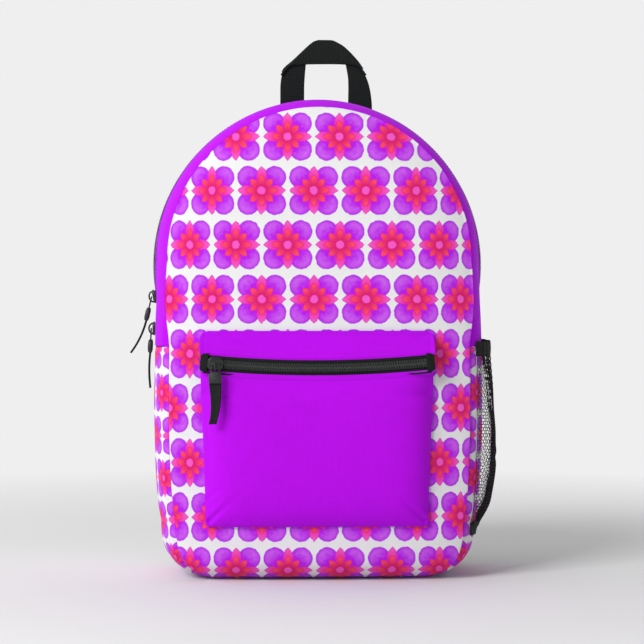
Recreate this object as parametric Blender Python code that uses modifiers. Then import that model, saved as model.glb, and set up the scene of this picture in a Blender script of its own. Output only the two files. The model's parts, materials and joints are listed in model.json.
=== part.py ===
"""School backpack: an arch-topped daypack with a zipped clamshell front, a zipped
front pocket, a mesh bottle pocket, a webbing grab handle and padded shoulder straps.

Metres, +Z up. The origin is the centre of the flat base. -Y is the front, +X is the
right-hand side seen from the front. The fabric panels are shells, laid edge to edge.
"""
import math

import bmesh
import bpy
import numpy as np
from mathutils import Matrix, Vector

# ---------------------------------------------------------------- dimensions
ARCH_R = 0.1482          # outer radius of the arched top
ARCH_Z = 0.2917          # height of the arch centre
FABRIC = 0.0022          # outer fabric, interlining and lining together
GAP = 0.0004             # clearance at every seam

FRONT_Y = -0.052         # front seam at the base
FRONT_RISE = 0.014       # how far the front seam leans back at the top
BACK_Y = 0.060           # inner face of the back panel
BULGE = 0.0125           # crown of the stuffed front panel
ROLL = 0.020             # radius with which the front rolls under the base

ZIP_Y = 0.014            # plane of the main zip
ZIP_CZ = 0.286           # centre of the main zip's arc
ZIP_R = 0.152            # radius of the main zip's arc
ZIP_HALF = 0.0086        # half the zip's visible width
ZIP_FOOT_Z = 0.212       # lower end of the main zip
ZIP_SPLIT_Z = 0.2705     # above this the zip's halves part when the front folds
HINGE_Z = 0.236          # crease about which the unzipped front folds
HINGE_Y = -0.0665
GUSSET_END_Z = 0.2065    # where the plain gusset meets the printed side panel

POCKET_TOP_W, POCKET_LOW_W = 0.1058, 0.1008    # half widths
POCKET_CX = -0.0030      # the pocket sits a little to the left
POCKET_Z0, POCKET_Z1 = 0.0497, 0.2265
POCKET_ZIP_Y = -0.0770   # outer face of the pocket zip
POCKET_ZIP_Z = 0.1935    # height of the pocket zip's middle
POCKET_ZIP_R = 1.037     # the pocket zip droops on this radius
POCKET_ZIP_HALF = 0.0080
POCKET_ZIP_X = 0.1012    # half its length

WEB_W, WEB_T = 0.024, 0.0024   # grab handle webbing, folded double
STRAP_W, STRAP_T = 0.060, 0.009

# ------------------------------------------------------------------- helpers
for o in list(bpy.data.objects):
    bpy.data.objects.remove(o, do_unlink=True)

parts = bpy.data.collections.new("school_backpack")
cutters = bpy.data.collections.new("cutters")
for c in (parts, cutters):
    bpy.context.scene.collection.children.link(c)


def material(name, rgb, rough=0.8, metal=0.0):
    m = bpy.data.materials.new(name)
    m.use_nodes = True
    b = m.node_tree.nodes["Principled BSDF"]
    b.inputs["Base Color"].default_value = (*rgb, 1.0)
    b.inputs["Roughness"].default_value = rough
    b.inputs["Metallic"].default_value = metal
    m.diffuse_color = (*rgb, 1.0)
    return m


PRINT = material("printed_canvas", (0.78, 0.36, 0.74), 0.85)
PURPLE = material("purple_canvas", (0.47, 0.012, 0.80), 0.8)
BLACK = material("black_canvas", (0.016, 0.016, 0.018), 0.85)
WEBBING = material("black_webbing", (0.012, 0.013, 0.012), 0.75)
MESH = material("black_mesh", (0.013, 0.014, 0.013), 0.7)
ZIP = material("zip_tape", (0.014, 0.016, 0.015), 0.7)
MOULDED = material("moulded_black", (0.02, 0.024, 0.022), 0.45)
METAL = material("coated_slider", (0.03, 0.033, 0.032), 0.35, 0.6)
FOAM = material("grey_foam", (0.28, 0.28, 0.29), 0.9)
LINING = material("grey_lining", (0.16, 0.16, 0.17), 0.85)
BOARD = material("stiff_board", (0.30, 0.29, 0.27), 0.7)


def finish(o, mat, smooth=True):
    """Names the material, shades the piece and puts it with the parts."""
    for c in list(o.users_collection):
        c.objects.unlink(o)
    parts.objects.link(o)
    o.data.materials.clear()
    o.data.materials.append(mat)
    if smooth and o.type == "MESH":
        o.data.shade_smooth()
        o.data.set_sharp_from_angle(angle=math.radians(40))
    return o


def empty(name, at):
    e = bpy.data.objects.new(name, None)
    e.empty_display_size = 0.02
    e.location = at
    parts.objects.link(e)
    return e


def hang(o, pivot):
    """Parents a piece to the empty on its joint, keeping it where it is."""
    bpy.context.view_layer.update()
    o.parent = pivot
    o.matrix_parent_inverse = pivot.matrix_world.inverted()
    return o


def smooth(t):
    t = min(1.0, max(0.0, t))
    return t * t * (3 - 2 * t)


def through(xs, ys, x):
    """A smooth curve through the points (xs, ys), with slopes that never overshoot."""
    xs, ys = list(xs), list(ys)
    if x <= xs[0]:
        return ys[0]
    if x >= xs[-1]:
        return ys[-1]
    k = max(i for i in range(len(xs) - 1) if xs[i] <= x)
    d = [(ys[i + 1] - ys[i]) / (xs[i + 1] - xs[i]) for i in range(len(xs) - 1)]
    m = [d[0]] + [0.0 if a * b <= 0 else 2 * a * b / (a + b) for a, b in zip(d, d[1:])] + [d[-1]]
    h = xs[k + 1] - xs[k]
    t = (x - xs[k]) / h
    return ((1 + 2 * t) * (1 - t) ** 2 * ys[k] + t * (1 - t) ** 2 * h * m[k]
            + t * t * (3 - 2 * t) * ys[k + 1] + t * t * (t - 1) * h * m[k + 1])


# --------------------------------------------------- the bag's outline (x, z)
SIDE_Z = (0.050, 0.069, 0.110, 0.160, 0.200, 0.236, 0.2547, 0.273, ARCH_Z)
SIDE_X = (0.1460, 0.1490, 0.1515, 0.1525, 0.1520, 0.1512, 0.1503, 0.1494, ARCH_R)


def half_outline():
    """Right half of the outline, from the top of the arch to the middle of the base."""
    pts = [(ARCH_R * math.sin(a), ARCH_Z + ARCH_R * math.cos(a))
           for a in np.linspace(0, math.pi / 2, 121)]
    pts += [(through(SIDE_Z, SIDE_X, z), z) for z in np.linspace(ARCH_Z, 0.050, 101)[1:]]
    for a in np.linspace(0, math.pi / 2, 61)[1:]:      # rounded lower corner
        pts.append((0.088 + 0.058 * math.cos(a) ** (2 / 2.6),
                    0.050 - 0.050 * math.sin(a) ** (2 / 2.6)))
    pts += [(x, 0.0) for x in np.linspace(0.088, 0.0, 31)[1:]]
    return np.array(pts)


HALF = half_outline()
STEP = np.linalg.norm(np.diff(HALF, axis=0), axis=1)
LONG = np.concatenate([[0.0], np.cumsum(STEP)])
TOTAL = float(LONG[-1])


def edge(s):
    """Outline point and outward normal at the signed distance s from the top; left is negative."""
    sign, a = (-1.0 if s < 0 else 1.0), abs(s)
    at = lambda q: np.array([np.interp(q, LONG, HALF[:, 0]), np.interp(q, LONG, HALF[:, 1])])
    p = at(a)
    t = at(min(a + 0.004, TOTAL)) - at(max(a - 0.004, 0.0))
    t /= np.linalg.norm(t)
    n = np.array([-t[1], t[0]])
    if a < 0.004:
        n = np.array([p[0] / ARCH_R, 1.0])
        n /= np.linalg.norm(n)
    if a > TOTAL - 0.004:
        n = np.array([0.0, -1.0])
    return np.array([sign * p[0], p[1]]), np.array([sign * n[0], n[1]])


def s_at(z):
    """Distance down the right side at which the outline has this height, from the arch to the base corner."""
    k = (LONG > 0.10) & (LONG < TOTAL - 0.10)
    return float(np.interp(-z, -HALF[k, 1], LONG[k]))


def front_y(z):
    return FRONT_Y + FRONT_RISE * smooth((z - 0.16) / 0.30)


def roll(z):
    """How far the front seam runs back where the front rolls under the base."""
    return ROLL - math.sqrt(max(0.0, ROLL ** 2 - (ROLL - z) ** 2)) if z < ROLL else 0.0


def zip_inset(s):
    """How far inside the outline the zip lies, so that it follows one circular arc over the top."""
    p, n = edge(s)
    z = max(p[1], 0.2505)
    if p[1] < 0.2505:
        q, m = edge(math.copysign(s_at(0.2505), s))
    else:
        q, m = p, n
    c = q - np.array([0.0, ZIP_CZ])
    b = float(c @ m)
    inset = b - math.sqrt(max(0.0, b * b - (float(c @ c) - ZIP_R ** 2)))
    if p[1] < 0.2505:
        w = smooth((p[1] - 0.236) / 0.0145)
        inset = inset * w + 0.0020 * (1 - w)
    return inset


def gusset_point(s, y):
    """The gusset's outer face at outline distance s and depth y."""
    p, n = edge(s)
    yf = front_y(p[1])
    low = smooth((abs(s) - (TOTAL - 0.16)) / 0.07)          # 1 under the base
    v = (y - ZIP_Y) / (ZIP_Y - yf) if y < ZIP_Y else (y - ZIP_Y) / (BACK_Y - ZIP_Y)
    rim = 0.011 * (1 - low) + 0.001 * low
    tail = 0.008 * (1 - low) + 0.001 * low
    o = through((-1, -0.78, -0.5, -0.2, 0.25, 0.65, 1),
                (rim, 0.42 * rim, 0.10 * rim, 0.0, 0.0, 0.35 * tail, tail), v)
    near = math.exp(-((y - ZIP_Y) / 0.016) ** 2) if abs(y - ZIP_Y) > 0.0095 else 1.0
    top = 1.0 if p[1] > 0.20 else smooth((p[1] - 0.17) / 0.03)
    o = o * (1 - near * top) + zip_inset(s) * near * top
    x, z = p - n * o
    return Vector((x, y, max(z, 0.0)))


# -------------------------------------------------------- front and back faces
def inset_half(z, inset):
    """Half width at this height of the outline moved inwards."""
    if z > ARCH_Z:
        r = ARCH_R - inset
        return math.sqrt(max(0.0, r * r - (z - ARCH_Z) ** 2))
    if z < 0.050:
        zz = max(0.0, min(1.0, (0.050 - z) / 0.0495))
        return 0.088 - inset * 0.3 + (0.058 - inset * 0.7) * (1 - zz ** 2.6) ** (1 / 2.6)
    return through(SIDE_Z, SIDE_X, z) - inset


def seam_distance(x, z, inset):
    """Roughly how far a point of a face is from its seam."""
    side = (ARCH_R - inset - math.hypot(x, z - ARCH_Z)) if z > ARCH_Z else inset_half(z, inset) - abs(x)
    return max(0.0, side)


def front_face(x, z):
    """Outer face of the stuffed front panel."""
    d = seam_distance(x, z, 0.0115)
    return front_y(z) - BULGE * (1 - math.exp(-d / 0.030)) * (1 - roll(z) / ROLL) + roll(z)


# ------------------------------------------------------------ modelling tools
def patch(name, nu, nv, fn, thick, mat, outward):
    """A grid laid on fn(u, v) and thickened inwards. outward is a direction that its outer face turns to."""
    bm = bmesh.new()
    bmesh.ops.create_grid(bm, x_segments=nu, y_segments=nv, size=1.0)
    for v in bm.verts:
        v.co = fn(min(1.0, max(0.0, (v.co.x + 1) / 2)), min(1.0, max(0.0, (v.co.y + 1) / 2)))
    bmesh.ops.remove_doubles(bm, verts=bm.verts, dist=1e-5)
    bm.normal_update()
    turn = sum(f.normal.dot(outward(f.calc_center_median()) if callable(outward) else Vector(outward)) * f.calc_area() for f in bm.faces)
    if turn < 0:
        bmesh.ops.reverse_faces(bm, faces=bm.faces)
    me = bpy.data.meshes.new(name)
    bm.to_mesh(me)
    bm.free()
    o = bpy.data.objects.new(name, me)
    parts.objects.link(o)
    if thick:
        m = o.modifiers.new("thickness", "SOLIDIFY")
        m.thickness = thick
        m.offset = -1.0
        m.use_even_offset = False
    return finish(o, mat)


def slab(name, nu, nv, fn, mat):
    """A box divided nu by nv, each of its points (u, v, w) put at fn(u, v, w)."""
    bm = bmesh.new()
    bmesh.ops.create_cube(bm, size=1.0, matrix=Matrix.Translation((0.5, 0.5, 0.5)))
    for n, axis in ((nu, 0), (nv, 1)):
        for k in range(1, n):
            at = [0.5, 0.5, 0.5]
            at[axis] = k / n
            bmesh.ops.bisect_plane(bm, geom=bm.verts[:] + bm.edges[:] + bm.faces[:], dist=1e-6,
                                   plane_co=at, plane_no=[1.0 if i == axis else 0.0 for i in range(3)])
    for v in bm.verts:
        v.co = fn(*v.co)
    bmesh.ops.recalc_face_normals(bm, faces=bm.faces)
    me = bpy.data.meshes.new(name)
    bm.to_mesh(me)
    bm.free()
    o = bpy.data.objects.new(name, me)
    parts.objects.link(o)
    return finish(o, mat)


def box(name, size, at, mat, bevel=0.0, rot=None, segments=1):
    bpy.ops.mesh.primitive_cube_add(size=1.0, location=(0, 0, 0))
    o = bpy.context.active_object
    o.name = o.data.name = name
    o.data.transform(Matrix.Diagonal((*size, 1.0)))
    if rot is not None:
        o.data.transform(rot)
    o.location = at
    if bevel:
        m = o.modifiers.new("edges", "BEVEL")
        m.width, m.segments, m.limit_method = bevel, segments, "ANGLE"
    return finish(o, mat)


def tube(name, points, radius, mat, sides=2, cyclic=False):
    cu = bpy.data.curves.new(name, "CURVE")
    cu.dimensions = "3D"
    sp = cu.splines.new("POLY")
    sp.points.add(len(points) - 1)
    for p, q in zip(sp.points, points):
        p.co = (*q, 1.0)
    sp.use_cyclic_u = cyclic
    cu.bevel_depth, cu.bevel_resolution, cu.use_fill_caps = radius, sides, True
    o = bpy.data.objects.new(name, cu)
    parts.objects.link(o)
    return finish(o, mat)


def plate(name, loops, thick, mat, frame):
    """A flat outline (first loop) with its windows (further loops), as thick as said, placed by a matrix."""
    cu = bpy.data.curves.new(name, "CURVE")
    cu.dimensions, cu.fill_mode = "2D", "BOTH"
    cu.extrude = thick / 2
    for loop in loops:
        sp = cu.splines.new("POLY")
        sp.points.add(len(loop) - 1)
        for p, q in zip(sp.points, loop):
            p.co = (q[0], q[1], 0.0, 1.0)
        sp.use_cyclic_u = True
    o = bpy.data.objects.new(name, cu)
    parts.objects.link(o)
    o.matrix_world = frame
    bpy.context.view_layer.update()
    me = bpy.data.meshes.new_from_object(o.evaluated_get(bpy.context.evaluated_depsgraph_get()))
    made = bpy.data.objects.new(name + "_m", me)
    made.matrix_world = frame
    bpy.data.objects.remove(o)
    made.name = name
    bm = bmesh.new()
    bm.from_mesh(me)
    bmesh.ops.remove_doubles(bm, verts=bm.verts, dist=1e-6)
    bmesh.ops.recalc_face_normals(bm, faces=bm.faces)
    bm.to_mesh(me)
    bm.free()
    parts.objects.link(made)
    return finish(made, mat, smooth=False)


def rounded(x0, y0, x1, y1, r, n=4):
    """Corner points of a rounded rectangle."""
    out = []
    for cx, cy, a0 in ((x1 - r, y0 + r, -90), (x1 - r, y1 - r, 0), (x0 + r, y1 - r, 90), (x0 + r, y0 + r, 180)):
        for k in range(n + 1):
            a = math.radians(a0 + 90 * k / n)
            out.append((cx + r * math.cos(a), cy + r * math.sin(a)))
    return out


def cut(o, cutter, operation="DIFFERENCE"):
    for c in list(cutter.users_collection):
        c.objects.unlink(cutter)
    cutters.objects.link(cutter)
    cutter.hide_render = True
    cutter.display_type = "WIRE"
    m = o.modifiers.new(operation.lower(), "BOOLEAN")
    m.object, m.operation, m.solver = cutter, operation, "EXACT"


def upright(at, x_axis, y_axis):
    """Matrix with local X and Y along the given directions."""
    x = Vector(x_axis).normalized()
    z = x.cross(Vector(y_axis)).normalized()
    y = z.cross(x)
    return Matrix.Translation(at) @ Matrix((x, y, z)).transposed().to_4x4()


# ============================================================ the bag's panels
S_HINGE, S_END, S_FOOT, S_SPLIT = s_at(HINGE_Z), s_at(GUSSET_END_Z), s_at(ZIP_FOOT_Z), s_at(ZIP_SPLIT_Z)
UP = (0, 0, 1)


def radial(c):
    return Vector((c.x, 0, c.z - 0.20))


def strip(s0, s1, y0, y1):
    """Maps a patch to the gusset between two outline distances and two depths (functions of height)."""
    def fn(u, v):
        s = s0 + (s1 - s0) * u
        z = edge(s)[0][1]
        a = y0(z) if callable(y0) else y0
        b = y1(z) if callable(y1) else y1
        return gusset_point(s, a + (b - a) * v)
    return fn


def rim_y(z):
    return front_y(z) + roll(z) + FABRIC + GAP


ZF, ZR = ZIP_Y - ZIP_HALF - GAP, ZIP_Y + ZIP_HALF + GAP
EDGE_B = BACK_Y - GAP
hinge = empty("flap_hinge", (0, HINGE_Y, HINGE_Z))

g = patch("gusset_front", 44, 4, strip(-S_HINGE + GAP, S_HINGE - GAP, rim_y, ZF), FABRIC, PURPLE, radial)
hang(g, hinge)
patch("gusset_rear", 48, 3, strip(-S_END + GAP, S_END - GAP, ZR, EDGE_B), FABRIC, PURPLE, radial)
for side, sg in (("left", -1), ("right", 1)):
    patch(f"gusset_end_{side}", 3, 4, strip(sg * (S_HINGE + 0.0002), sg * (S_END - GAP), rim_y, ZF), FABRIC, PURPLE, (sg, 0, 0))
    patch(f"side_panel_{side}", 13, 6, strip(sg * (S_END + 0.0002), sg * (TOTAL - 0.104), rim_y, EDGE_B), FABRIC, PRINT, (sg, 0, -0.2))


def base(u, v):
    s = (TOTAL - 0.1030) + 2 * 0.1030 * u
    s, sg = (s, 1) if s <= TOTAL else (2 * TOTAL - s, -1)
    p, n = edge(sg * s)
    lo, hi = FRONT_Y + roll(0.0008) + FABRIC, EDGE_B
    return Vector((p[0], lo + (hi - lo) * v, max(0.0, p[1])))


patch("base_panel", 8, 3, base, FABRIC, PRINT, (0, 0, -1))


def face_rows(z0, z1, inset, fy):
    """Maps a patch to a face whose rows run across the bag between two heights."""
    def fn(u, v):
        top = min(z1, ARCH_Z + ARCH_R - inset)
        if top > ARCH_Z + 0.03:        # rows close up towards the crown of the arch
            a = math.asin(min(1.0, (z0 - ARCH_Z) / (ARCH_R - inset))) if z0 > ARCH_Z else 0.0
            long0 = max(0.0, ARCH_Z - z0)
            arc = (math.asin(min(1.0, (top - ARCH_Z) / (ARCH_R - inset))) - a) * (ARCH_R - inset)
            q = v * (long0 + arc)
            z = z0 + q if q < long0 else ARCH_Z + (ARCH_R - inset) * math.sin(a + (q - long0) / (ARCH_R - inset))
        else:
            z = z0 + (z1 - z0) * v
        w = inset_half(z, inset)
        x = w * math.sin((2 * u - 1) * math.pi / 2) * 0.35 + w * (2 * u - 1) * 0.65
        return Vector((x, fy(x, z), z))
    return fn


TOP_Z = ARCH_Z + ARCH_R
upper = patch("front_panel_upper", 14, 12, face_rows(HINGE_Z + 0.0003, TOP_Z - 0.0125, 0.0115, front_face), FABRIC, PRINT, (0, -1, 0))
hang(upper, hinge)
patch("front_panel_lower", 14, 11, face_rows(0.0008, HINGE_Z - 0.0003, 0.0115, front_face), FABRIC, PRINT, (0, -1, 0))


def back_face(x, z):
    d = seam_distance(x, z, 0.009)
    return BACK_Y + 0.0022 + 0.0030 * (1 - math.exp(-d / 0.02))


patch("back_panel", 10, 15, face_rows(0.0035, TOP_Z - 0.0095, 0.0090, back_face), FABRIC, BLACK, (0, 1, 0))
patch("back_foam", 8, 12, face_rows(0.012, TOP_Z - 0.020, 0.0175, lambda x, z: 0.0592), 0.0080, FOAM, (0, 1, 0))

# laptop sleeve: a padded panel sewn to the back at its sides and foot, open at the top
def sleeve(u, v):
    x = (2 * u - 1) * 0.126
    z = 0.020 + 0.270 * v
    e = min((0.126 - abs(x)) / 0.020, (z - 0.020) / 0.020)
    return Vector((x, 0.0466 - 0.0130 * smooth(e), z))


patch("laptop_sleeve", 10, 7, sleeve, 0.0030, LINING, (0, -1, 0))
box("base_stiffener", (0.160, 0.078, 0.0016), (0, 0.012, 0.0036), BOARD, 0.0004)

# =================================================================== main zip
RIDGE_W, RIDGE_H = 0.0031, 0.0021


def zip_out(s):
    """Gusset point on the zip's middle line and the direction square to the tape there."""
    p = gusset_point(s, ZIP_Y)
    w = smooth((p.z - 0.2385) / 0.0120)
    arc = Vector((p.x, 0, p.z - ZIP_CZ)).normalized()
    return p, (arc * w + Vector((math.copysign(1, s), 0, 0)) * (1 - w)).normalized()


def zip_strip(s0, s1, profile):
    """A zip between two outline distances, from a profile of (distance from the middle, height)."""
    def fn(u, v):
        p, out = zip_out(s0 + (s1 - s0) * u)
        d, h = profile[min(len(profile) - 1, int(round(v * (len(profile) - 1))))]
        return Vector((p.x, ZIP_Y + d, p.z)) + out * h
    return fn


REAR = ((0.0003, RIDGE_H), (RIDGE_W, RIDGE_H), (RIDGE_W + 0.0006, 0.0), (ZIP_HALF, 0.0))
FRONT = tuple((-d, h) for d, h in REAR)
WHOLE = ((-ZIP_HALF, 0.0), (-RIDGE_W - 0.0006, 0.0), (-RIDGE_W, RIDGE_H), (RIDGE_W, RIDGE_H), (RIDGE_W + 0.0006, 0.0), (ZIP_HALF, 0.0))

zf = patch("main_zip_front", 48, 3, zip_strip(-S_SPLIT + GAP, S_SPLIT - GAP, FRONT), 0.0010, ZIP, radial)
hang(zf, hinge)
patch("main_zip_rear", 48, 3, zip_strip(-S_SPLIT + GAP, S_SPLIT - GAP, REAR), 0.0010, ZIP, radial)
for side, sg in (("left", -1), ("right", 1)):
    patch(f"main_zip_foot_{side}", 7, 5, zip_strip(sg * (S_SPLIT + 0.0003), sg * S_FOOT, WHOLE), 0.0010, ZIP, (sg, 0, 0))
    # sewn tab that closes the lower end of the zip
    p0, p1 = gusset_point(sg * (S_FOOT + 0.0004), ZIP_Y), gusset_point(sg * (S_END - 0.0006), ZIP_Y)
    patch(f"main_zip_tab_{side}", 2, 3, strip(sg * (S_FOOT + GAP), sg * (S_END - GAP), ZF + GAP, ZR - GAP), FABRIC, ZIP, (sg, 0, 0))


# ------------------------------------------------- sliders of the main zip
def slider(name, frame, pivot):
    """A moulded slider in its own frame: X away from the bag, Y across the zip, Z along it."""
    body = box(name, (0.0042, 0.0106, 0.0130), (0, 0, 0), METAL, 0.0012)
    body.data.transform(Matrix.Translation((0.0003 + 0.0021 + 0.0001, 0, 0)))
    channel = box(name + "_channel", (0.0028, 0.0074, 0.0200), (0, 0, 0), METAL)
    channel.data.transform(Matrix.Translation((0.0013, 0, 0)))
    for o in (body, channel):
        o.matrix_world = frame
    arch = [(0.0040 + 0.0038 * math.sin(a), 0.0, -0.0052 * math.cos(a)) for a in np.linspace(0, math.pi, 9)]
    crown = tube(name + "_crown", arch, 0.0007, METAL, 2)
    crown.matrix_world = frame
    bpy.context.view_layer.update()
    me = bpy.data.meshes.new_from_object(crown.evaluated_get(bpy.context.evaluated_depsgraph_get()))
    bm = bmesh.new()
    bm.from_mesh(me)
    bmesh.ops.remove_doubles(bm, verts=bm.verts, dist=1e-6)
    bm.to_mesh(me)
    bm.free()
    made = bpy.data.objects.new(name + "_crown_solid", me)
    made.matrix_world = frame
    bpy.data.objects.remove(crown)
    parts.objects.link(made)
    cut(body, channel)
    cut(body, made, "UNION")
    return hang(body, pivot)


def pull(prefix, frame, pivot, tilt, strip_bend, bow):
    """Wire bail, moulded block and webbing strip of a pull, hanging down -Z of the frame from its crown."""
    turn = frame @ Matrix.Translation((0.0060, 0, 0)) @ Matrix.Rotation(tilt, 4, "Y")
    w, drop = 0.0036, 0.0098
    pts = [(0, -w, -drop), (0, -w, -0.0012), (0, -w + 0.0011, 0), (0, w - 0.0011, 0), (0, w, -0.0012), (0, w, -drop)]
    bail = tube(prefix + "_bail", pts, 0.00055, METAL, 2)
    bail.matrix_world = turn
    block = box(prefix + "_block", (0.0040, 0.0120, 0.0125), (0, 0, 0), MOULDED, 0.0010)
    block.data.transform(Matrix.Translation((0, 0, -drop - 0.0003 - 0.00625)))
    block.matrix_world = turn
    top = -drop - 0.0003 - 0.0125 - 0.0003

    def fn(u, v):
        d = v * 0.0330
        a = strip_bend * v
        x = bow * math.sin(v * math.pi) + 0.5 * strip_bend * v * d + 0.0008
        half = 0.0044 - 0.0009 * v
        return Vector((x, (2 * u - 1) * half, top - d * math.cos(0.5 * a)))
    tape = patch(prefix + "_strip", 2, 8, fn, 0.0016, WEBBING, (1, 0, 0))
    tape.matrix_world = turn
    for o in (bail, block, tape):
        hang(o, pivot)


def left_zip_frame(z):
    """Frame on the left run of the main zip at a height, or on its arc."""
    s = -s_at(z) if z < ARCH_Z else None
    p = gusset_point(s, ZIP_Y)
    if z > 0.2505:
        out = Vector((p.x, 0, p.z - ZIP_CZ)).normalized()
    else:
        out = Vector((-1, 0, 0))
    return p, upright(p, out, (0, -1, 0))


UPPER_Z = 0.2575
a0 = math.asin((UPPER_Z - ZIP_CZ) / ZIP_R)
at_upper = Vector((-ZIP_R * math.cos(a0), ZIP_Y, UPPER_Z))
up_frame = upright(at_upper, (at_upper.x, 0, at_upper.z - ZIP_CZ), (0, -1, 0))
arc_pivot = empty("upper_slider_arc", (0, ZIP_Y, ZIP_CZ))
slider("main_slider_upper", up_frame, arc_pivot)
up_pull = hang(empty("upper_pull_pivot", up_frame @ Vector((0.0060, 0, 0))), arc_pivot)
pull("upper_pull", up_frame, up_pull, math.radians(-24), 0.42, 0.0)

LOWER_Z = 0.2270
low_p, low_frame = left_zip_frame(LOWER_Z)
low_pivot = empty("lower_slider_track", low_p)
slider("main_slider_lower", low_frame, low_pivot)
low_pull = hang(empty("lower_pull_pivot", low_frame @ Vector((0.0060, 0, 0))), low_pivot)
pull("lower_pull", low_frame, low_pull, math.radians(-3), -0.10, 0.0006)

# ============================================================== front pocket
def pocket_zip_z(x):
    return POCKET_ZIP_Z + POCKET_ZIP_R - math.sqrt(POCKET_ZIP_R ** 2 - (x - POCKET_CX) ** 2)


def pocket_half(z):
    return POCKET_LOW_W + (POCKET_TOP_W - POCKET_LOW_W) * smooth((z - POCKET_Z0) / (POCKET_Z1 - POCKET_Z0))


def pocket_face(x, z):
    """Outer face of the front pocket: seated on the panel at its edges, stuffed in the middle."""
    w = pocket_half(z)
    zz = pocket_zip_z(x)
    seat = front_face(x, z) - 0.0030
    side = 1 - math.exp(-max(0.0, w - abs(x - POCKET_CX)) / 0.010)
    foot = 1 - math.exp(-max(0.0, z - POCKET_Z0) / 0.011)
    depth = 0.0140 * side * foot
    full = seat - depth
    if z > zz - 0.030:                       # eases into the plane of the zip
        k = smooth((zz - POCKET_ZIP_HALF - z) / 0.022) if z < zz else 0.0
        flat = POCKET_ZIP_Y
        if z > zz + POCKET_ZIP_HALF:         # and back to the panel along the top seam
            t = smooth((z - zz - POCKET_ZIP_HALF) / max(1e-6, POCKET_Z1 - zz - POCKET_ZIP_HALF))
            flat = POCKET_ZIP_Y * (1 - t) + seat * t
        full = full * k + flat * (1 - k)
        if z < zz - POCKET_ZIP_HALF:
            full = full * side + seat * (1 - side)
    return min(full, seat)


def pocket_rows(z0, z1):
    def fn(u, v):
        x0 = (2 * u - 1)
        x0 = 0.35 * math.sin(x0 * math.pi / 2) + 0.65 * x0
        wide = POCKET_CX + x0 * pocket_half(POCKET_ZIP_Z)
        a = z0(wide) if callable(z0) else z0
        b = z1(wide) if callable(z1) else z1
        z = a + (b - a) * v
        x = POCKET_CX + x0 * pocket_half(z)
        return Vector((x, pocket_face(x, z), z))
    return fn


below = lambda x: pocket_zip_z(x) - POCKET_ZIP_HALF - GAP
above = lambda x: pocket_zip_z(x) + POCKET_ZIP_HALF + 4 * GAP
patch("pocket_panel", 14, 12, pocket_rows(POCKET_Z0, below), 0.0016, PURPLE, (0, -1, 0))
patch("pocket_top_band", 14, 3, pocket_rows(above, POCKET_Z1), 0.0016, PURPLE, (0, -1, 0))


def pocket_zip_rows(side):
    prof = ((POCKET_ZIP_HALF, 0.0), (RIDGE_W + 0.0006, 0.0), (RIDGE_W, RIDGE_H), (0.0003, RIDGE_H))
    def fn(u, v):
        a = (2 * u - 1) * math.asin(POCKET_ZIP_X / POCKET_ZIP_R)
        d, h = prof[min(3, int(round(v * 3)))]
        r = POCKET_ZIP_R - side * d
        return Vector((POCKET_CX + r * math.sin(a), POCKET_ZIP_Y - h, POCKET_ZIP_Z + POCKET_ZIP_R - r * math.cos(a)))
    return fn


patch("pocket_zip_upper", 18, 3, pocket_zip_rows(1), 0.0010, ZIP, (0, -1, 0))
patch("pocket_zip_lower", 18, 3, pocket_zip_rows(-1), 0.0010, ZIP, (0, -1, 0))
for side, sg in (("left", -1), ("right", 1)):
    a = math.asin(POCKET_ZIP_X / POCKET_ZIP_R)
    box(f"pocket_zip_end_{side}", (0.0026, 0.0022, 0.0155), (POCKET_CX + sg * (POCKET_ZIP_X + 0.0020), POCKET_ZIP_Y + 0.0004, pocket_zip_z(POCKET_CX + POCKET_ZIP_X)), ZIP, 0.0006)

# the pocket slider and its moulded pull hang from a crown bar along the zip
PX = -0.0946
pa = math.asin((PX - POCKET_CX) / POCKET_ZIP_R)
pz = pocket_zip_z(PX)
pocket_pivot = empty("pocket_slider_arc", (POCKET_CX, POCKET_ZIP_Y, POCKET_ZIP_Z + POCKET_ZIP_R))
along = Vector((math.cos(pa), 0, math.sin(pa)))
p_frame = upright((PX, POCKET_ZIP_Y, pz), (0, -1, 0), along.cross(Vector((0, -1, 0))))
slider("pocket_slider", p_frame, pocket_pivot)
# the pull: an eye round the crown bar, a block and a curved webbing strip
pull_at = p_frame @ Vector((0.0078, 0, 0))
pull_pivot = hang(empty("pocket_pull_pivot", pull_at), pocket_pivot)
eye = tube("pocket_pull_eye", [(0.0, 0.0026 * math.sin(a), -0.0023 + 0.0039 * math.cos(a))
                               for a in np.linspace(0, 2 * math.pi, 13)[:-1]], 0.00055, METAL, 2, cyclic=True)
eye.location = pull_at
hang(eye, pull_pivot)
block = box("pocket_pull_block", (0.0118, 0.0040, 0.0106), pull_at + Vector((0, 0, -0.0070 - 0.0053)), MOULDED, 0.0010)
hang(block, pull_pivot)


def pocket_strip(u, v):
    d = 0.0362 * v
    bend = -0.0042 * v * v * v + 0.0022 * v
    half = 0.0050 - 0.0022 * v
    return pull_at + Vector((bend + (2 * u - 1) * half, 0.0008 - 0.0028 * math.sin(math.pi * v), -0.0179 - d))


hang(patch("pocket_pull_strip", 2, 8, pocket_strip, 0.0016, WEBBING, (0, -1, 0)), pull_pivot)

# ============================================================ mesh side pocket
MESH_Z0, MESH_Z1, BAND_Z1 = 0.0440, 0.2036, 0.2165
MESH_Y0, MESH_Y1 = -0.0400, 0.0530


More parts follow.
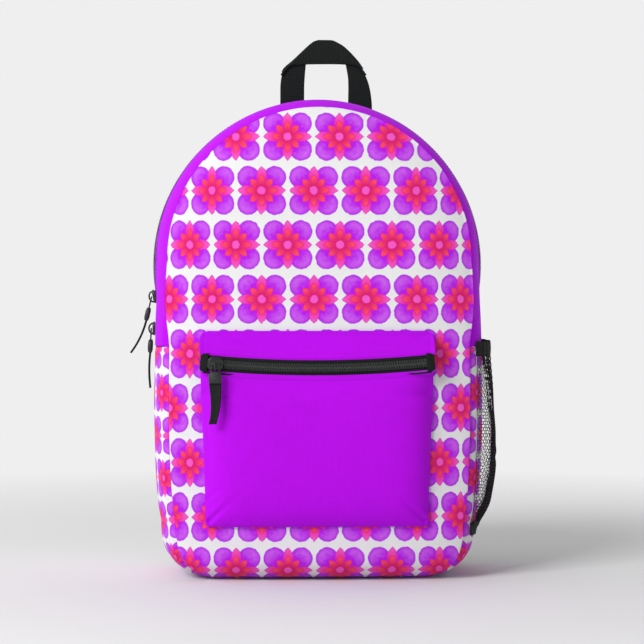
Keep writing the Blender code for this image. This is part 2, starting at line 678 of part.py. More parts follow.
def mesh_point(y, z):
    p = gusset_point(s_at(z), y)
    q = (y - MESH_Y0) / (MESH_Y1 - MESH_Y0)
    across = (1 - abs(2 * q - 1) ** 3.0)
    up = through((MESH_Z0, 0.052, 0.070, 0.100, 0.130, 0.165, 0.190, MESH_Z1, BAND_Z1),
                 (0.0, 0.0045, 0.0098, 0.0122, 0.0118, 0.0095, 0.0078, 0.0072, 0.0074), z)
    seat = 0.0016 + 0.0006 * (1 - across)
    return Vector((p.x + seat + (up - 0.0005) * across, y, z))


def mesh_rows(z0, z1):
    def fn(u, v):
        y = MESH_Y0 + (MESH_Y1 - MESH_Y0) * (0.5 - 0.5 * math.cos(math.pi * u))
        return mesh_point(y, z0 + (z1 - z0) * v)
    return fn


patch("mesh_pocket", 10, 11, mesh_rows(MESH_Z0, MESH_Z1), 0.0010, MESH, (1, 0, 0))
patch("mesh_pocket_band", 10, 2, mesh_rows(MESH_Z1 + 0.0003, BAND_Z1), 0.0012, WEBBING, (1, 0, 0))

# ================================================================ grab handle
HX, HY = 0.0097, 0.0670           # middle of the handle and its plane
LEG_IN, LEG_OUT = 0.0211, 0.0440  # inner and outer edge of each leg from its middle
HZ, BAR0, BAR1 = 0.4425, 0.4790, 0.5025


def handle_loop():
    inner = [(HX - LEG_IN, HZ + 0.0002), (HX - LEG_IN, BAR0), (HX + LEG_IN, BAR0), (HX + LEG_IN, HZ + 0.0002)]
    outer = [(HX + LEG_OUT, HZ + 0.0002), (HX + LEG_OUT - 0.0020, 0.4560), (HX + 0.0390, 0.4684), (HX + 0.0326, 0.4786),
             (HX + 0.0138, 0.4987), (HX + 0.0034, BAR1), (HX - 0.0078, BAR1), (HX - 0.0402, 0.4745), (HX - 0.0434, 0.4684), (HX - LEG_OUT, HZ + 0.0002)]
    return inner + outer


handle_pivot = empty("handle_hinge", (HX, HY, HZ))
stand = Matrix.Translation((0, HY, 0)) @ Matrix.Rotation(math.radians(90), 4, "X")
hang(plate("grab_handle", [handle_loop()], WEB_T, WEBBING, stand), handle_pivot)
for side, sg in (("left", -1), ("right", 1)):
    mid = HX + sg * (LEG_IN + LEG_OUT) / 2
    box(f"handle_foot_{side}", (LEG_OUT - LEG_IN, WEB_T, 0.0330), (mid, HY, HZ - 0.0016 - 0.0165), WEBBING)
YOKE = [(-0.088, 0.3700), (0.088, 0.3700), (0.088, 0.3840), (0.060, 0.4080), (-0.060, 0.4080), (-0.088, 0.3840)]
plate("yoke_patch", [YOKE], 0.0016, BLACK,
      Matrix.Translation((0, HY + WEB_T / 2 + 0.0003 + 0.0008, 0)) @ Matrix.Rotation(math.radians(90), 4, "X"))

# ============================================================= shoulder straps
TOP_A = (0.0480, 0.0700, 0.3680)      # upper end of a strap, right-hand side
LOW_B = (0.1260, 0.0700, 0.0500)      # lower end
LINE_L = math.dist(TOP_A, LOW_B)
T_ROOT, T_PAD, T_LOW = 0.140, 0.680, 0.965


def strap_line(t, sg):
    """Centre of a strap at the fraction t of the way down: bowed away from the back, curved outwards."""
    a, b = Vector(TOP_A), Vector(LOW_B)
    p = a.lerp(b, t)
    y = through((0, 0.06, T_ROOT, 0.26, 0.42, 0.56, 0.70, 0.85, T_LOW, 1.0),
                (0.0045, 0.0075, 0.0165, 0.0340, 0.0480, 0.0490, 0.0390, 0.0220, 0.0075, 0.0040), t)
    lat = -0.0100 * math.sin(math.pi * min(1, t / 0.7)) ** 2
    side = Vector((b.z - a.z, 0, -(b.x - a.x))).normalized() * -1
    q = p + Vector((0, y, 0)) + side * lat
    return Vector((sg * q.x, q.y, q.z))


def strap_frame(t, sg):
    """Point, across and outward directions of a strap."""
    e = 0.004
    d = (strap_line(min(1, t + e), sg) - strap_line(max(0, t - e), sg)).normalized()
    run = (Vector((sg * LOW_B[0], LOW_B[1], LOW_B[2])) - Vector((sg * TOP_A[0], TOP_A[1], TOP_A[2]))).normalized()
    across = run.cross(Vector((0, 1, 0))).normalized()
    out = across.cross(run)
    slope = Vector((0, 1, 0)) - d * d.y
    return strap_line(t, sg), across, slope.normalized() if slope.y > 0 else -slope.normalized()


def strap_band(name, sg, t0, t1, half, thick, mat, nu, nv, lift=0.0):
    """A stretch of strap whose ends are square to the line that it swings about."""
    def fn(u, v, w):
        t = t0 + (t1 - t0) * v
        p, across, out = strap_frame(t, sg)
        wide = half(t) if callable(half) else half
        crown = 0.0012 * (1 - (2 * u - 1) ** 2) if thick > 0.005 else 0.0
        return p + across * (2 * u - 1) * wide + Vector((0, 1, 0)) * ((w - 0.5) * thick * 1.08 + lift + crown * w)
    return slab(name, nu, nv, fn, mat)


def pad_half(t):
    return through((0, 0.08, 0.30, 0.56, 0.64, T_PAD), (0.0270, 0.0280, 0.0310, 0.0290, 0.0250, 0.0190), t)


for side, sg in (("left", -1), ("right", 1)):
    pivot = empty(f"strap_axis_{side}", (sg * TOP_A[0], TOP_A[1], TOP_A[2]))
    strap_band(f"strap_root_{side}", sg, 0.000, T_ROOT - 0.0008, pad_half, 0.0060, BLACK, 4, 4)
    hang(strap_band(f"shoulder_strap_{side}", sg, T_ROOT + 0.0008, T_PAD, pad_half, 0.0090, BLACK, 4, 14), pivot)
    # ladder-lock adjuster below the pad
    c, across, out = strap_frame(T_PAD + 0.042, sg)
    d = (strap_line(T_PAD + 0.06, sg) - strap_line(T_PAD + 0.02, sg)).normalized()
    at = upright(c, across, d * -1)
    lock = plate(f"strap_adjuster_{side}", [rounded(-0.0165, -0.0105, 0.0165, 0.0105, 0.003),
                                            rounded(-0.0130, 0.0042, 0.0130, 0.0076, 0.0008, 1),
                                            rounded(-0.0130, -0.0076, 0.0130, -0.0042, 0.0008, 1)], 0.0046, MOULDED, at)
    hang(lock, pivot)
    hang(strap_band(f"strap_webbing_{side}", sg, T_PAD + 0.079, T_LOW - 0.0008, 0.0125, 0.0016, WEBBING, 2, 7), pivot)
    # the webbing's free end hangs from the adjuster
    tail_at = c + Vector((0, 0.0080, -0.0030))
    tail_pivot = hang(empty(f"strap_tail_hinge_{side}", tail_at), pivot)

    def tail(u, v):
        return tail_at + Vector(((2 * u - 1) * 0.0125, 0.0008 + 0.0006 * math.sin(math.pi * v), -0.0950 * v))
    hang(patch(f"strap_tail_{side}", 2, 6, tail, 0.0016, WEBBING, (0, 1, 0)), tail_pivot)
    # lower anchor: a folded tab sewn into the bottom corner
    strap_band(f"strap_foot_{side}", sg, T_LOW + 0.0008, 0.9990, 0.0125, 0.0016, WEBBING, 2, 3)
    tab = [(0.0135, 0.010), (-0.0135, 0.010), (-0.030, -0.020), (0.006, -0.028)] if sg > 0 else [(0.0135, 0.010), (-0.0135, 0.010), (-0.006, -0.028), (0.030, -0.020)]
    plate(f"strap_anchor_{side}", [tab], 0.0020, BLACK,
          Matrix.Translation((sg * LOW_B[0], 0.0682, LOW_B[2] - 0.0105)) @ Matrix.Rotation(math.radians(90), 4, "X"))
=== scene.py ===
import json
import math

import bmesh
import bpy
import numpy as np
from mathutils import Matrix, Vector, noise

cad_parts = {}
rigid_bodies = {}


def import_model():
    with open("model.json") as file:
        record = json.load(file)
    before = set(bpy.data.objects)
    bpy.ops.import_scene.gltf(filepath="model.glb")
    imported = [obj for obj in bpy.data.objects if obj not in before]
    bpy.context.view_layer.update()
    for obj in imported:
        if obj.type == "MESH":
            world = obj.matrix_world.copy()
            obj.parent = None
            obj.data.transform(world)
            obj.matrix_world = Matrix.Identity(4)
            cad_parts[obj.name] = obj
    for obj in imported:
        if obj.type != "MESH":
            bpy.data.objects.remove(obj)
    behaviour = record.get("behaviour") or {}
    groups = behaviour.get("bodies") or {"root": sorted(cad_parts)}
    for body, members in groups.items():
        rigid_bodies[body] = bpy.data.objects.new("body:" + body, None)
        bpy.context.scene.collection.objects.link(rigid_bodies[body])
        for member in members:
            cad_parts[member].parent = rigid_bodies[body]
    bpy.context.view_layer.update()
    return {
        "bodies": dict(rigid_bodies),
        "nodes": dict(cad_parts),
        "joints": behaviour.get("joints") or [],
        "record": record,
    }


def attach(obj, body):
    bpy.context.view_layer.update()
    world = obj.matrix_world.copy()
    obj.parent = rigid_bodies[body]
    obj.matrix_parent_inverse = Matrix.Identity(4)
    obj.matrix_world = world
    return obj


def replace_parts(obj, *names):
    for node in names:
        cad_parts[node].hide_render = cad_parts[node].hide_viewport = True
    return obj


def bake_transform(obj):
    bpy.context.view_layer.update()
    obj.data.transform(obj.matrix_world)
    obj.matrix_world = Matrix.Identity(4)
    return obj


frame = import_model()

# ============================================================== camera, light
scene = bpy.context.scene
scene.view_settings.view_transform = "Standard"
scene.view_settings.look = "None"

PIX = 0.926e-3                   # metres in one step of the picture at the bag's front


def srgb(r, g, b):
    out = []
    for c in (r, g, b):
        c /= 255.0
        out.append(c / 12.92 if c <= 0.04045 else ((c + 0.055) / 1.055) ** 2.4)
    return out


# ============================================================== materials
class Sock:
    """A shader socket or a number, with arithmetic that makes Math nodes."""
    tree = None

    def __init__(self, s):
        self.s = s

    @staticmethod
    def op(kind, *args, clamp=False):
        n = Sock.tree.nodes.new("ShaderNodeMath")
        n.operation = kind
        n.use_clamp = clamp
        for i, a in enumerate(args):
            a = a.s if isinstance(a, Sock) else a
            if isinstance(a, (int, float)):
                n.inputs[i].default_value = float(a)
            else:
                Sock.tree.links.new(a, n.inputs[i])
        return Sock(n.outputs[0])

    def __add__(self, o): return Sock.op("ADD", self, o)
    __radd__ = __add__
    def __sub__(self, o): return Sock.op("SUBTRACT", self, o)
    def __rsub__(self, o): return Sock.op("SUBTRACT", o, self)
    def __mul__(self, o): return Sock.op("MULTIPLY", self, o)
    __rmul__ = __mul__
    def __truediv__(self, o): return Sock.op("DIVIDE", self, o)
    def __neg__(self): return Sock.op("MULTIPLY", self, -1.0)


def absv(a): return Sock.op("ABSOLUTE", a)
def mini(a, b): return Sock.op("MINIMUM", a, b)
def maxi(a, b): return Sock.op("MAXIMUM", a, b)
def clamp01(a): return Sock.op("MULTIPLY", a, 1.0, clamp=True)
def inside(d, soft):
    """1 where d is positive, 0 where negative, with a soft edge."""
    return Sock.op("MULTIPLY_ADD", d, 1.0 / soft, 0.5, clamp=True)


def mix(tree, fac, a, b, kind="MIX"):
    n = tree.nodes.new("ShaderNodeMix")
    n.data_type = "RGBA"
    n.blend_type = kind
    for idx, v in ((0, fac), (6, a), (7, b)):
        v = v.s if isinstance(v, Sock) else v
        if isinstance(v, (int, float)):
            n.inputs[idx].default_value = v
        elif isinstance(v, (tuple, list)):
            n.inputs[idx].default_value = (*v[:3], 1.0)
        else:
            tree.links.new(v, n.inputs[idx])
    return n.outputs[2]


def new_material(name, rough, sheen=0.0, metal=0.0, spec=0.5):
    m = bpy.data.materials.new(name)
    m.use_nodes = True
    t = m.node_tree
    b = t.nodes["Principled BSDF"]
    b.inputs["Roughness"].default_value = rough
    b.inputs["Metallic"].default_value = metal
    b.inputs["Specular IOR Level"].default_value = spec
    if sheen:
        b.inputs["Sheen Weight"].default_value = sheen
        b.inputs["Sheen Roughness"].default_value = 0.45
    Sock.tree = t
    return m, t, b


def uv_axes(t):
    n = t.nodes.new("ShaderNodeUVMap")
    n.uv_map = "cloth"
    sep = t.nodes.new("ShaderNodeSeparateXYZ")
    t.links.new(n.outputs[0], sep.inputs[0])
    return Sock(sep.outputs[0]), Sock(sep.outputs[1]), n.outputs[0]


def obj_coords(t):
    n = t.nodes.new("ShaderNodeTexCoord")
    return n.outputs["Object"]


def noise_node(t, vec, scale, detail=2.0, rough=0.5):
    n = t.nodes.new("ShaderNodeTexNoise")
    n.inputs["Scale"].default_value = scale
    n.inputs["Detail"].default_value = detail
    n.inputs["Roughness"].default_value = rough
    if vec is not None:
        t.links.new(vec, n.inputs["Vector"])
    return Sock(n.outputs[0])


def bump(t, b, height, distance, strength=1.0, prev=None):
    n = t.nodes.new("ShaderNodeBump")
    n.inputs["Strength"].default_value = strength
    n.inputs["Distance"].default_value = distance
    t.links.new(height.s, n.inputs["Height"])
    if prev is not None:
        t.links.new(prev, n.inputs["Normal"])
    t.links.new(n.outputs[0], b.inputs["Normal"])
    return n.outputs[0]


def sine(a, period):
    return Sock.op("SINE", a * (2 * math.pi / period))


def weave_height(u, v, pitch):
    """Plain weave: warp and weft threads that pass over each other in turn."""
    a, b = sine(u, 2 * pitch), sine(v, 2 * pitch)
    over = a * b
    return over * 0.5 + absv(sine(u, 2 * pitch)) * 0.25 + absv(sine(v, 2 * pitch)) * 0.25


def cloth_weave_tone_and_painted_shade(t, b, colour, u, v, vec, pitch=0.00075, var=0.06, depth=0.00016):
    """Thread weave as bump, and as painted shade in the colour: darker in the weave's hollows, lighter on its raised
    threads; with the slight unevenness of woven cloth in its colour.
    """
    slub_u = Sock.op("MULTIPLY_ADD", u, 1400.0, 0.0)
    n1 = noise_node(t, vec, 55.0, 3.0, 0.6)
    stretch = t.nodes.new("ShaderNodeMapping")
    stretch.inputs["Scale"].default_value = (900.0, 60.0, 1.0)
    t.links.new(vec, stretch.inputs["Vector"])
    n2 = noise_node(t, stretch.outputs[0], 1.0, 1.0)
    stretch2 = t.nodes.new("ShaderNodeMapping")
    stretch2.inputs["Scale"].default_value = (60.0, 900.0, 1.0)
    t.links.new(vec, stretch2.inputs["Vector"])
    n3 = noise_node(t, stretch2.outputs[0], 1.0, 1.0)
    h = weave_height(u, v, pitch)
    # colour: random unevenness of the cloth, plus painted shade from the weave height h, darker where the threads lie
    # low
    shade = 1.0 + (n1 - 0.5) * var + (n2 - 0.5) * (var * 1.6) + (n3 - 0.5) * (var * 1.6) + h * (var * 0.9)
    col = mix(t, 1.0, colour, shade, "MULTIPLY")
    t.links.new(col, b.inputs["Base Color"])
    bump(t, b, h + (n2 + n3) * 0.6, depth)
    return col


def motif_cloth(name, px, pz, half, u0, v0):
    """White cloth with rows of plain round-petalled flowers, each built by folding its cell about its axes."""
    m, t, b = new_material(name, 0.78, sheen=0.04, spec=0.25)
    u, v, vec = uv_axes(t)
    v1 = (v - v0) / pz
    row = Sock.op("FLOOR", v1 + 0.5)
    dz = (v1 - row) * (pz / half)
    odd = absv(Sock.op("MODULO", row, 2.0))
    u1 = (u - u0) / px - odd * 0.5
    col = Sock.op("FLOOR", u1 + 0.5)
    du = (u1 - col) * (px / half)
    wave = noise_node(t, vec, 6.0 / half, 2.0)
    wob = (wave - 0.5) * 0.07
    x, y = absv(du) + wob, absv(dz) + wob
    S = 0.030 * 0.0244 / half
    r = Sock.op("SQRT", x * x + y * y)

    def oval(cx, cy, a, bb):
        """Positive inside an ellipse, in units of its smaller radius."""
        p, q = (x - cx) / a, (y - cy) / bb
        return (1.0 - Sock.op("SQRT", p * p + q * q)) * min(a, bb)

    def lens(a, bb, c, l, w, power=1.0):
        """Positive inside a petal that runs along a, its middle at c, half length l and half width w."""
        q = absv((a - c) / l)
        return w * (1.0 - Sock.op("POWER", q, 2.0 * power)) - absv(bb)

    edge_c = srgb(150, 8, 204)
    rim_c = srgb(176, 10, 222)
    light = srgb(198, 98, 226)
    ground = (*srgb(224, 224, 224),)
    c = mix(t, inside(0.62 - r, S), ground, srgb(180, 8, 214))

    def petal(c, d, shade):
        body = mix(t, shade, rim_c, light)
        body = mix(t, inside(0.026 - d, S * 1.3) * 0.8, body, edge_c)
        return mix(t, inside(d, S), c, body)

    # one round petal in each quarter, deep at the root and pale towards the tip
    e1 = oval(0.51, 0.51, 0.43, 0.43)
    fade = clamp01((r - 0.62) * 2.2 + (wave - 0.5) * 0.8)
    c = petal(c, e1, fade * clamp01(e1 * 6.0))
    # the same petal on each axis, in pink, with a small coral one on its root
    for a, bb in ((x, y), (y, x)):
        d = lens(a, bb, 0.50, 0.44, 0.215, 1.2)
        pink = mix(t, clamp01((a - 0.45) * 2.4), srgb(226, 20, 150), srgb(234, 84, 186))
        pink = mix(t, inside(0.030 - d, S * 1.3) * 0.85, pink, srgb(192, 10, 196))
        c = mix(t, inside(d, S), c, pink)
    q45 = (x + y) * 0.7071
    w45 = absv(x - y) * 0.7071
    for a, bb in ((x, y), (y, x), (q45, w45)):
        h = lens(a, bb, 0.36, 0.26, 0.135, 1.2)
        rose = mix(t, clamp01((a - 0.22) * 3.6), srgb(214, 16, 100), srgb(240, 68, 92))
        rose = mix(t, inside(0.026 - h, S * 1.2) * 0.8, rose, srgb(206, 18, 130))
        c = mix(t, inside(h, S), c, rose)
    # round centre
    c = mix(t, inside(0.150 - r, S), c, srgb(232, 84, 190))
    cloth_weave_tone_and_painted_shade(t, b, c, u, v, vec, var=0.035)
    return m


def plain_cloth(name, rgb, rough=0.8, pitch=0.00075, var=0.07, sheen=0.02, depth=0.00018, spec=0.12):
    m, t, b = new_material(name, rough, sheen=sheen, spec=spec)
    u, v, vec = uv_axes(t)
    big = noise_node(t, vec, 9.0, 2.0)
    c = mix(t, clamp01(big), [x * 0.93 for x in rgb], [min(1.0, x * 1.06) for x in rgb])
    cloth_weave_tone_and_painted_shade(t, b, c, u, v, vec, pitch=pitch, var=var, depth=depth)
    return m


def ribbed(name, rgb, pitch=0.0016, rough=0.62, across=0.00085):
    """Webbing: ribs across it (along u), made of close threads that lie along it. Its colour has painted shade in the
    grooves and painted light on the ribs' tops.
    """
    m, t, b = new_material(name, rough, spec=0.12)
    u, v, vec = uv_axes(t)
    rib = absv(sine(v, 2 * pitch))
    thread = absv(sine(u + absv(sine(v, 2 * pitch)) * 0.0002, 2 * across))
    n1 = noise_node(t, vec, 500.0, 2.0)
    h = rib * 0.7 + thread * 0.3
    # painted shade and light: colour follows the rib and thread height, dark in the grooves, light on the tops, with
    # random unevenness
    c = mix(t, clamp01(h * 0.9 + (n1 - 0.5) * 0.5), [x * 0.45 for x in rgb], [x * 1.55 for x in rgb])
    t.links.new(c, b.inputs["Base Color"])
    bump(t, b, h + n1 * 0.15, 0.00035)
    return m


def hard(name, rgb, rough=0.4, metal=0.0, grain=900.0, depth=0.00004, spec=0.5):
    m, t, b = new_material(name, rough, metal=metal, spec=spec)
    vec = obj_coords(t)
    n1 = noise_node(t, vec, grain, 3.0, 0.6)
    n2 = noise_node(t, vec, 90.0, 2.0)
    c = mix(t, clamp01(n2 * 1.4 - 0.2), [x * 0.8 for x in rgb], [min(1.0, x * 1.25) for x in rgb])
    t.links.new(c, b.inputs["Base Color"])
    rr = Sock.op("MULTIPLY_ADD", n1, 0.22, rough - 0.11, clamp=True)
    t.links.new(rr.s, b.inputs["Roughness"])
    bump(t, b, n1, depth)
    return m


def fuzzy(name, rgb, scale=700.0, rough=0.9, depth=0.0003):
    """Foam, lining or thread: a fine uneven surface."""
    m, t, b = new_material(name, rough, sheen=0.1, spec=0.2)
    vec = obj_coords(t)
    n1 = noise_node(t, vec, scale, 3.0, 0.65)
    n2 = noise_node(t, vec, 40.0, 2.0)
    c = mix(t, clamp01(n1 * 0.8 + n2 * 0.4 - 0.1), [x * 0.72 for x in rgb], [min(1.0, x * 1.2) for x in rgb])
    t.links.new(c, b.inputs["Base Color"])
    bump(t, b, n1, depth)
    return m


PURPLE_RGB = srgb(180, 4, 226)
M_FRONT = motif_cloth("print_large", 0.0472, 0.0492, 0.0236, 0.0179, 0.4026)
M_SIDE = motif_cloth("print_small", 0.0376, 0.0391, 0.0188, 0.0, 0.170)
M_PURPLE = plain_cloth("purple_cloth", PURPLE_RGB)
M_THREAD = fuzzy("purple_thread", srgb(150, 10, 196), 1500.0, 0.6, 0.0001)
M_THREAD_K = fuzzy("black_thread", srgb(44, 45, 44), 1500.0, 0.6, 0.0001)
M_BLACK = plain_cloth("black_cloth", srgb(24, 24, 26), 0.85, pitch=0.0009, var=0.25, sheen=0.04, spec=0.2)
M_WEB = ribbed("webbing", srgb(22, 26, 24))
M_WEB_FINE = ribbed("pull_webbing", srgb(30, 34, 32), pitch=0.0011, across=0.0007)
M_ELASTIC = ribbed("elastic", srgb(23, 25, 24), pitch=0.0018, across=0.0009)
M_TAPE = ribbed("zip_cloth", srgb(24, 28, 25), pitch=0.00085, across=0.0008)
M_COIL = hard("coil", srgb(62, 68, 64), 0.34, grain=2500.0, depth=0.00002)
M_MOULD = hard("moulded", srgb(28, 32, 29), 0.5, grain=1800.0, depth=0.00005)
M_SLIDER = hard("slider_coat", srgb(40, 43, 41), 0.26, metal=0.35, grain=1200.0, depth=0.00002)
M_NET = fuzzy("net", srgb(26, 27, 28), 2400.0, 0.7, 0.00008)
M_LINING = plain_cloth("lining", srgb(120, 120, 126), 0.7, pitch=0.0006, var=0.10)
M_FOAM = fuzzy("foam", srgb(150, 150, 152), 500.0, 0.95, 0.0004)
M_BOARD = fuzzy("board", srgb(150, 146, 138), 220.0, 0.7, 0.0001)
M_SPACER = None


def spacer_mesh():
    """Air mesh of the back: rows of small round holes in a soft face, with painted shade that darkens its low parts."""
    m, t, b = new_material("air_mesh", 0.85, sheen=0.25, spec=0.25)
    u, v, vec = uv_axes(t)
    p = 0.0034
    a, c = sine(u, p), sine(v, p * 1.3)
    hole = inside(absv(a * c) - 0.30, 0.25)
    n1 = noise_node(t, vec, 900.0, 2.0)
    # painted shade: the bump's mask sets the colour, dark where the face is low, lighter where it is raised
    col = mix(t, hole, srgb(14, 14, 15), srgb(48, 48, 51))
    col = mix(t, 1.0, col, 0.85 + n1 * 0.3, "MULTIPLY")
    t.links.new(col, b.inputs["Base Color"])
    bump(t, b, hole + n1 * 0.2, 0.0006)
    return m


M_SPACER = spacer_mesh()
# ---------------------------------------------------------------- dimensions
ARCH_R = 0.1482          # outer radius of the arched top
ARCH_Z = 0.2917          # height of the arch centre
FABRIC = 0.0022          # outer fabric, interlining and lining together
GAP = 0.0004             # clearance at every seam

FRONT_Y = -0.052         # front seam at the base
FRONT_RISE = 0.014       # how far the front seam leans back at the top
BACK_Y = 0.060           # inner face of the back panel
BULGE = 0.0125           # crown of the stuffed front panel
ROLL = 0.020             # radius with which the front rolls under the base

ZIP_Y = 0.014            # plane of the main zip
ZIP_CZ = 0.286           # centre of the main zip's arc
ZIP_R = 0.152            # radius of the main zip's arc
ZIP_HALF = 0.0086        # half the zip's visible width
ZIP_FOOT_Z = 0.212       # lower end of the main zip
ZIP_SPLIT_Z = 0.2705     # above this the zip's halves part when the front folds
HINGE_Z = 0.236          # crease about which the unzipped front folds
HINGE_Y = -0.0665
GUSSET_END_Z = 0.2065    # where the plain gusset meets the printed side panel

POCKET_TOP_W, POCKET_LOW_W = 0.1058, 0.1008    # half widths
POCKET_CX = -0.0030      # the pocket sits a little to the left
POCKET_Z0, POCKET_Z1 = 0.0497, 0.2265
POCKET_ZIP_Y = -0.0770   # outer face of the pocket zip
POCKET_ZIP_Z = 0.1935    # height of the pocket zip's middle
POCKET_ZIP_R = 1.037     # the pocket zip droops on this radius
POCKET_ZIP_HALF = 0.0080
POCKET_ZIP_X = 0.1012    # half its length

WEB_W, WEB_T = 0.024, 0.0024   # grab handle webbing, folded double
STRAP_W, STRAP_T = 0.060, 0.009

def smooth(t):
    t = min(1.0, max(0.0, t))
    return t * t * (3 - 2 * t)


def through(xs, ys, x):
    """A smooth curve through the points (xs, ys), with slopes that never overshoot."""
    xs, ys = list(xs), list(ys)
    if x <= xs[0]:
        return ys[0]
    if x >= xs[-1]:
        return ys[-1]
    k = max(i for i in range(len(xs) - 1) if xs[i] <= x)
    d = [(ys[i + 1] - ys[i]) / (xs[i + 1] - xs[i]) for i in range(len(xs) - 1)]
    m = [d[0]] + [0.0 if a * b <= 0 else 2 * a * b / (a + b) for a, b in zip(d, d[1:])] + [d[-1]]
    h = xs[k + 1] - xs[k]
    t = (x - xs[k]) / h
    return ((1 + 2 * t) * (1 - t) ** 2 * ys[k] + t * (1 - t) ** 2 * h * m[k]
            + t * t * (3 - 2 * t) * ys[k + 1] + t * t * (t - 1) * h * m[k + 1])


# --------------------------------------------------- the bag's outline (x, z)
SIDE_Z = (0.050, 0.069, 0.110, 0.160, 0.200, 0.236, 0.2547, 0.273, ARCH_Z)
SIDE_X = (0.1460, 0.1490, 0.1515, 0.1525, 0.1520, 0.1512, 0.1503, 0.1494, ARCH_R)


def half_outline():
    """Right half of the outline, from the top of the arch to the middle of the base."""
    pts = [(ARCH_R * math.sin(a), ARCH_Z + ARCH_R * math.cos(a))
           for a in np.linspace(0, math.pi / 2, 121)]
    pts += [(through(SIDE_Z, SIDE_X, z), z) for z in np.linspace(ARCH_Z, 0.050, 101)[1:]]
    for a in np.linspace(0, math.pi / 2, 61)[1:]:      # rounded lower corner
        pts.append((0.088 + 0.058 * math.cos(a) ** (2 / 2.6),
                    0.050 - 0.050 * math.sin(a) ** (2 / 2.6)))
    pts += [(x, 0.0) for x in np.linspace(0.088, 0.0, 31)[1:]]
    return np.array(pts)


HALF = half_outline()
STEP = np.linalg.norm(np.diff(HALF, axis=0), axis=1)
LONG = np.concatenate([[0.0], np.cumsum(STEP)])
TOTAL = float(LONG[-1])


def edge(s):
    """Outline point and outward normal at the signed distance s from the top; left is negative."""
    sign, a = (-1.0 if s < 0 else 1.0), abs(s)
    at = lambda q: np.array([np.interp(q, LONG, HALF[:, 0]), np.interp(q, LONG, HALF[:, 1])])
    p = at(a)
    t = at(min(a + 0.004, TOTAL)) - at(max(a - 0.004, 0.0))
    t /= np.linalg.norm(t)
    n = np.array([-t[1], t[0]])
    if a < 0.004:
        n = np.array([p[0] / ARCH_R, 1.0])
        n /= np.linalg.norm(n)
    if a > TOTAL - 0.004:
        n = np.array([0.0, -1.0])
    return np.array([sign * p[0], p[1]]), np.array([sign * n[0], n[1]])


def s_at(z):
    """Distance down the right side at which the outline has this height, from the arch to the base corner."""
    k = (LONG > 0.10) & (LONG < TOTAL - 0.10)
    return float(np.interp(-z, -HALF[k, 1], LONG[k]))


def front_y(z):
    return FRONT_Y + FRONT_RISE * smooth((z - 0.16) / 0.30)


def roll(z):
    """How far the front seam runs back where the front rolls under the base."""
    return ROLL - math.sqrt(max(0.0, ROLL ** 2 - (ROLL - z) ** 2)) if z < ROLL else 0.0


def zip_inset(s):
    """How far inside the outline the zip lies, so that it follows one circular arc over the top."""
    p, n = edge(s)
    z = max(p[1], 0.2505)
    if p[1] < 0.2505:
        q, m = edge(math.copysign(s_at(0.2505), s))
    else:
        q, m = p, n
    c = q - np.array([0.0, ZIP_CZ])
    b = float(c @ m)
    inset = b - math.sqrt(max(0.0, b * b - (float(c @ c) - ZIP_R ** 2)))
    if p[1] < 0.2505:
        w = smooth((p[1] - 0.236) / 0.0145)
        inset = inset * w + 0.0020 * (1 - w)
    return inset


def gusset_point(s, y):
    """The gusset's outer face at outline distance s and depth y."""
    p, n = edge(s)
    yf = front_y(p[1])
    low = smooth((abs(s) - (TOTAL - 0.16)) / 0.07)          # 1 under the base
    v = (y - ZIP_Y) / (ZIP_Y - yf) if y < ZIP_Y else (y - ZIP_Y) / (BACK_Y - ZIP_Y)
    rim = 0.011 * (1 - low) + 0.001 * low
    tail = 0.008 * (1 - low) + 0.001 * low
    o = through((-1, -0.78, -0.5, -0.2, 0.25, 0.65, 1),
                (rim, 0.42 * rim, 0.10 * rim, 0.0, 0.0, 0.35 * tail, tail), v)
    near = math.exp(-((y - ZIP_Y) / 0.016) ** 2) if abs(y - ZIP_Y) > 0.0095 else 1.0
    top = 1.0 if p[1] > 0.20 else smooth((p[1] - 0.17) / 0.03)
    o = o * (1 - near * top) + zip_inset(s) * near * top
    x, z = p - n * o
    return Vector((x, y, max(z, 0.0)))


# -------------------------------------------------------- front and back faces
def inset_half(z, inset):
    """Half width at this height of the outline moved inwards."""
    if z > ARCH_Z:
        r = ARCH_R - inset
        return math.sqrt(max(0.0, r * r - (z - ARCH_Z) ** 2))
    if z < 0.050:
        zz = max(0.0, min(1.0, (0.050 - z) / 0.0495))
        return 0.088 - inset * 0.3 + (0.058 - inset * 0.7) * (1 - zz ** 2.6) ** (1 / 2.6)
    return through(SIDE_Z, SIDE_X, z) - inset


def seam_distance(x, z, inset):
    """Roughly how far a point of a face is from its seam."""
    side = (ARCH_R - inset - math.hypot(x, z - ARCH_Z)) if z > ARCH_Z else inset_half(z, inset) - abs(x)
    return max(0.0, side)


def front_face(x, z):
    """Outer face of the stuffed front panel."""
    d = seam_distance(x, z, 0.0115)
    return front_y(z) - BULGE * (1 - math.exp(-d / 0.030)) * (1 - roll(z) / ROLL) + roll(z)


def rounded(x0, y0, x1, y1, r, n=4):
    """Corner points of a rounded rectangle."""
    out = []
    for cx, cy, a0 in ((x1 - r, y0 + r, -90), (x1 - r, y1 - r, 0), (x0 + r, y1 - r, 90), (x0 + r, y0 + r, 180)):
        for k in range(n + 1):
            a = math.radians(a0 + 90 * k / n)
            out.append((cx + r * math.cos(a), cy + r * math.sin(a)))
    return out


def upright(at, x_axis, y_axis):
    """Matrix with local X and Y along the given directions."""
    x = Vector(x_axis).normalized()
    z = x.cross(Vector(y_axis)).normalized()
    y = z.cross(x)
    return Matrix.Translation(at) @ Matrix((x, y, z)).transposed().to_4x4()


S_HINGE, S_END, S_FOOT, S_SPLIT = s_at(HINGE_Z), s_at(GUSSET_END_Z), s_at(ZIP_FOOT_Z), s_at(ZIP_SPLIT_Z)


def rim_y(z):
    return front_y(z) + roll(z) + FABRIC + GAP


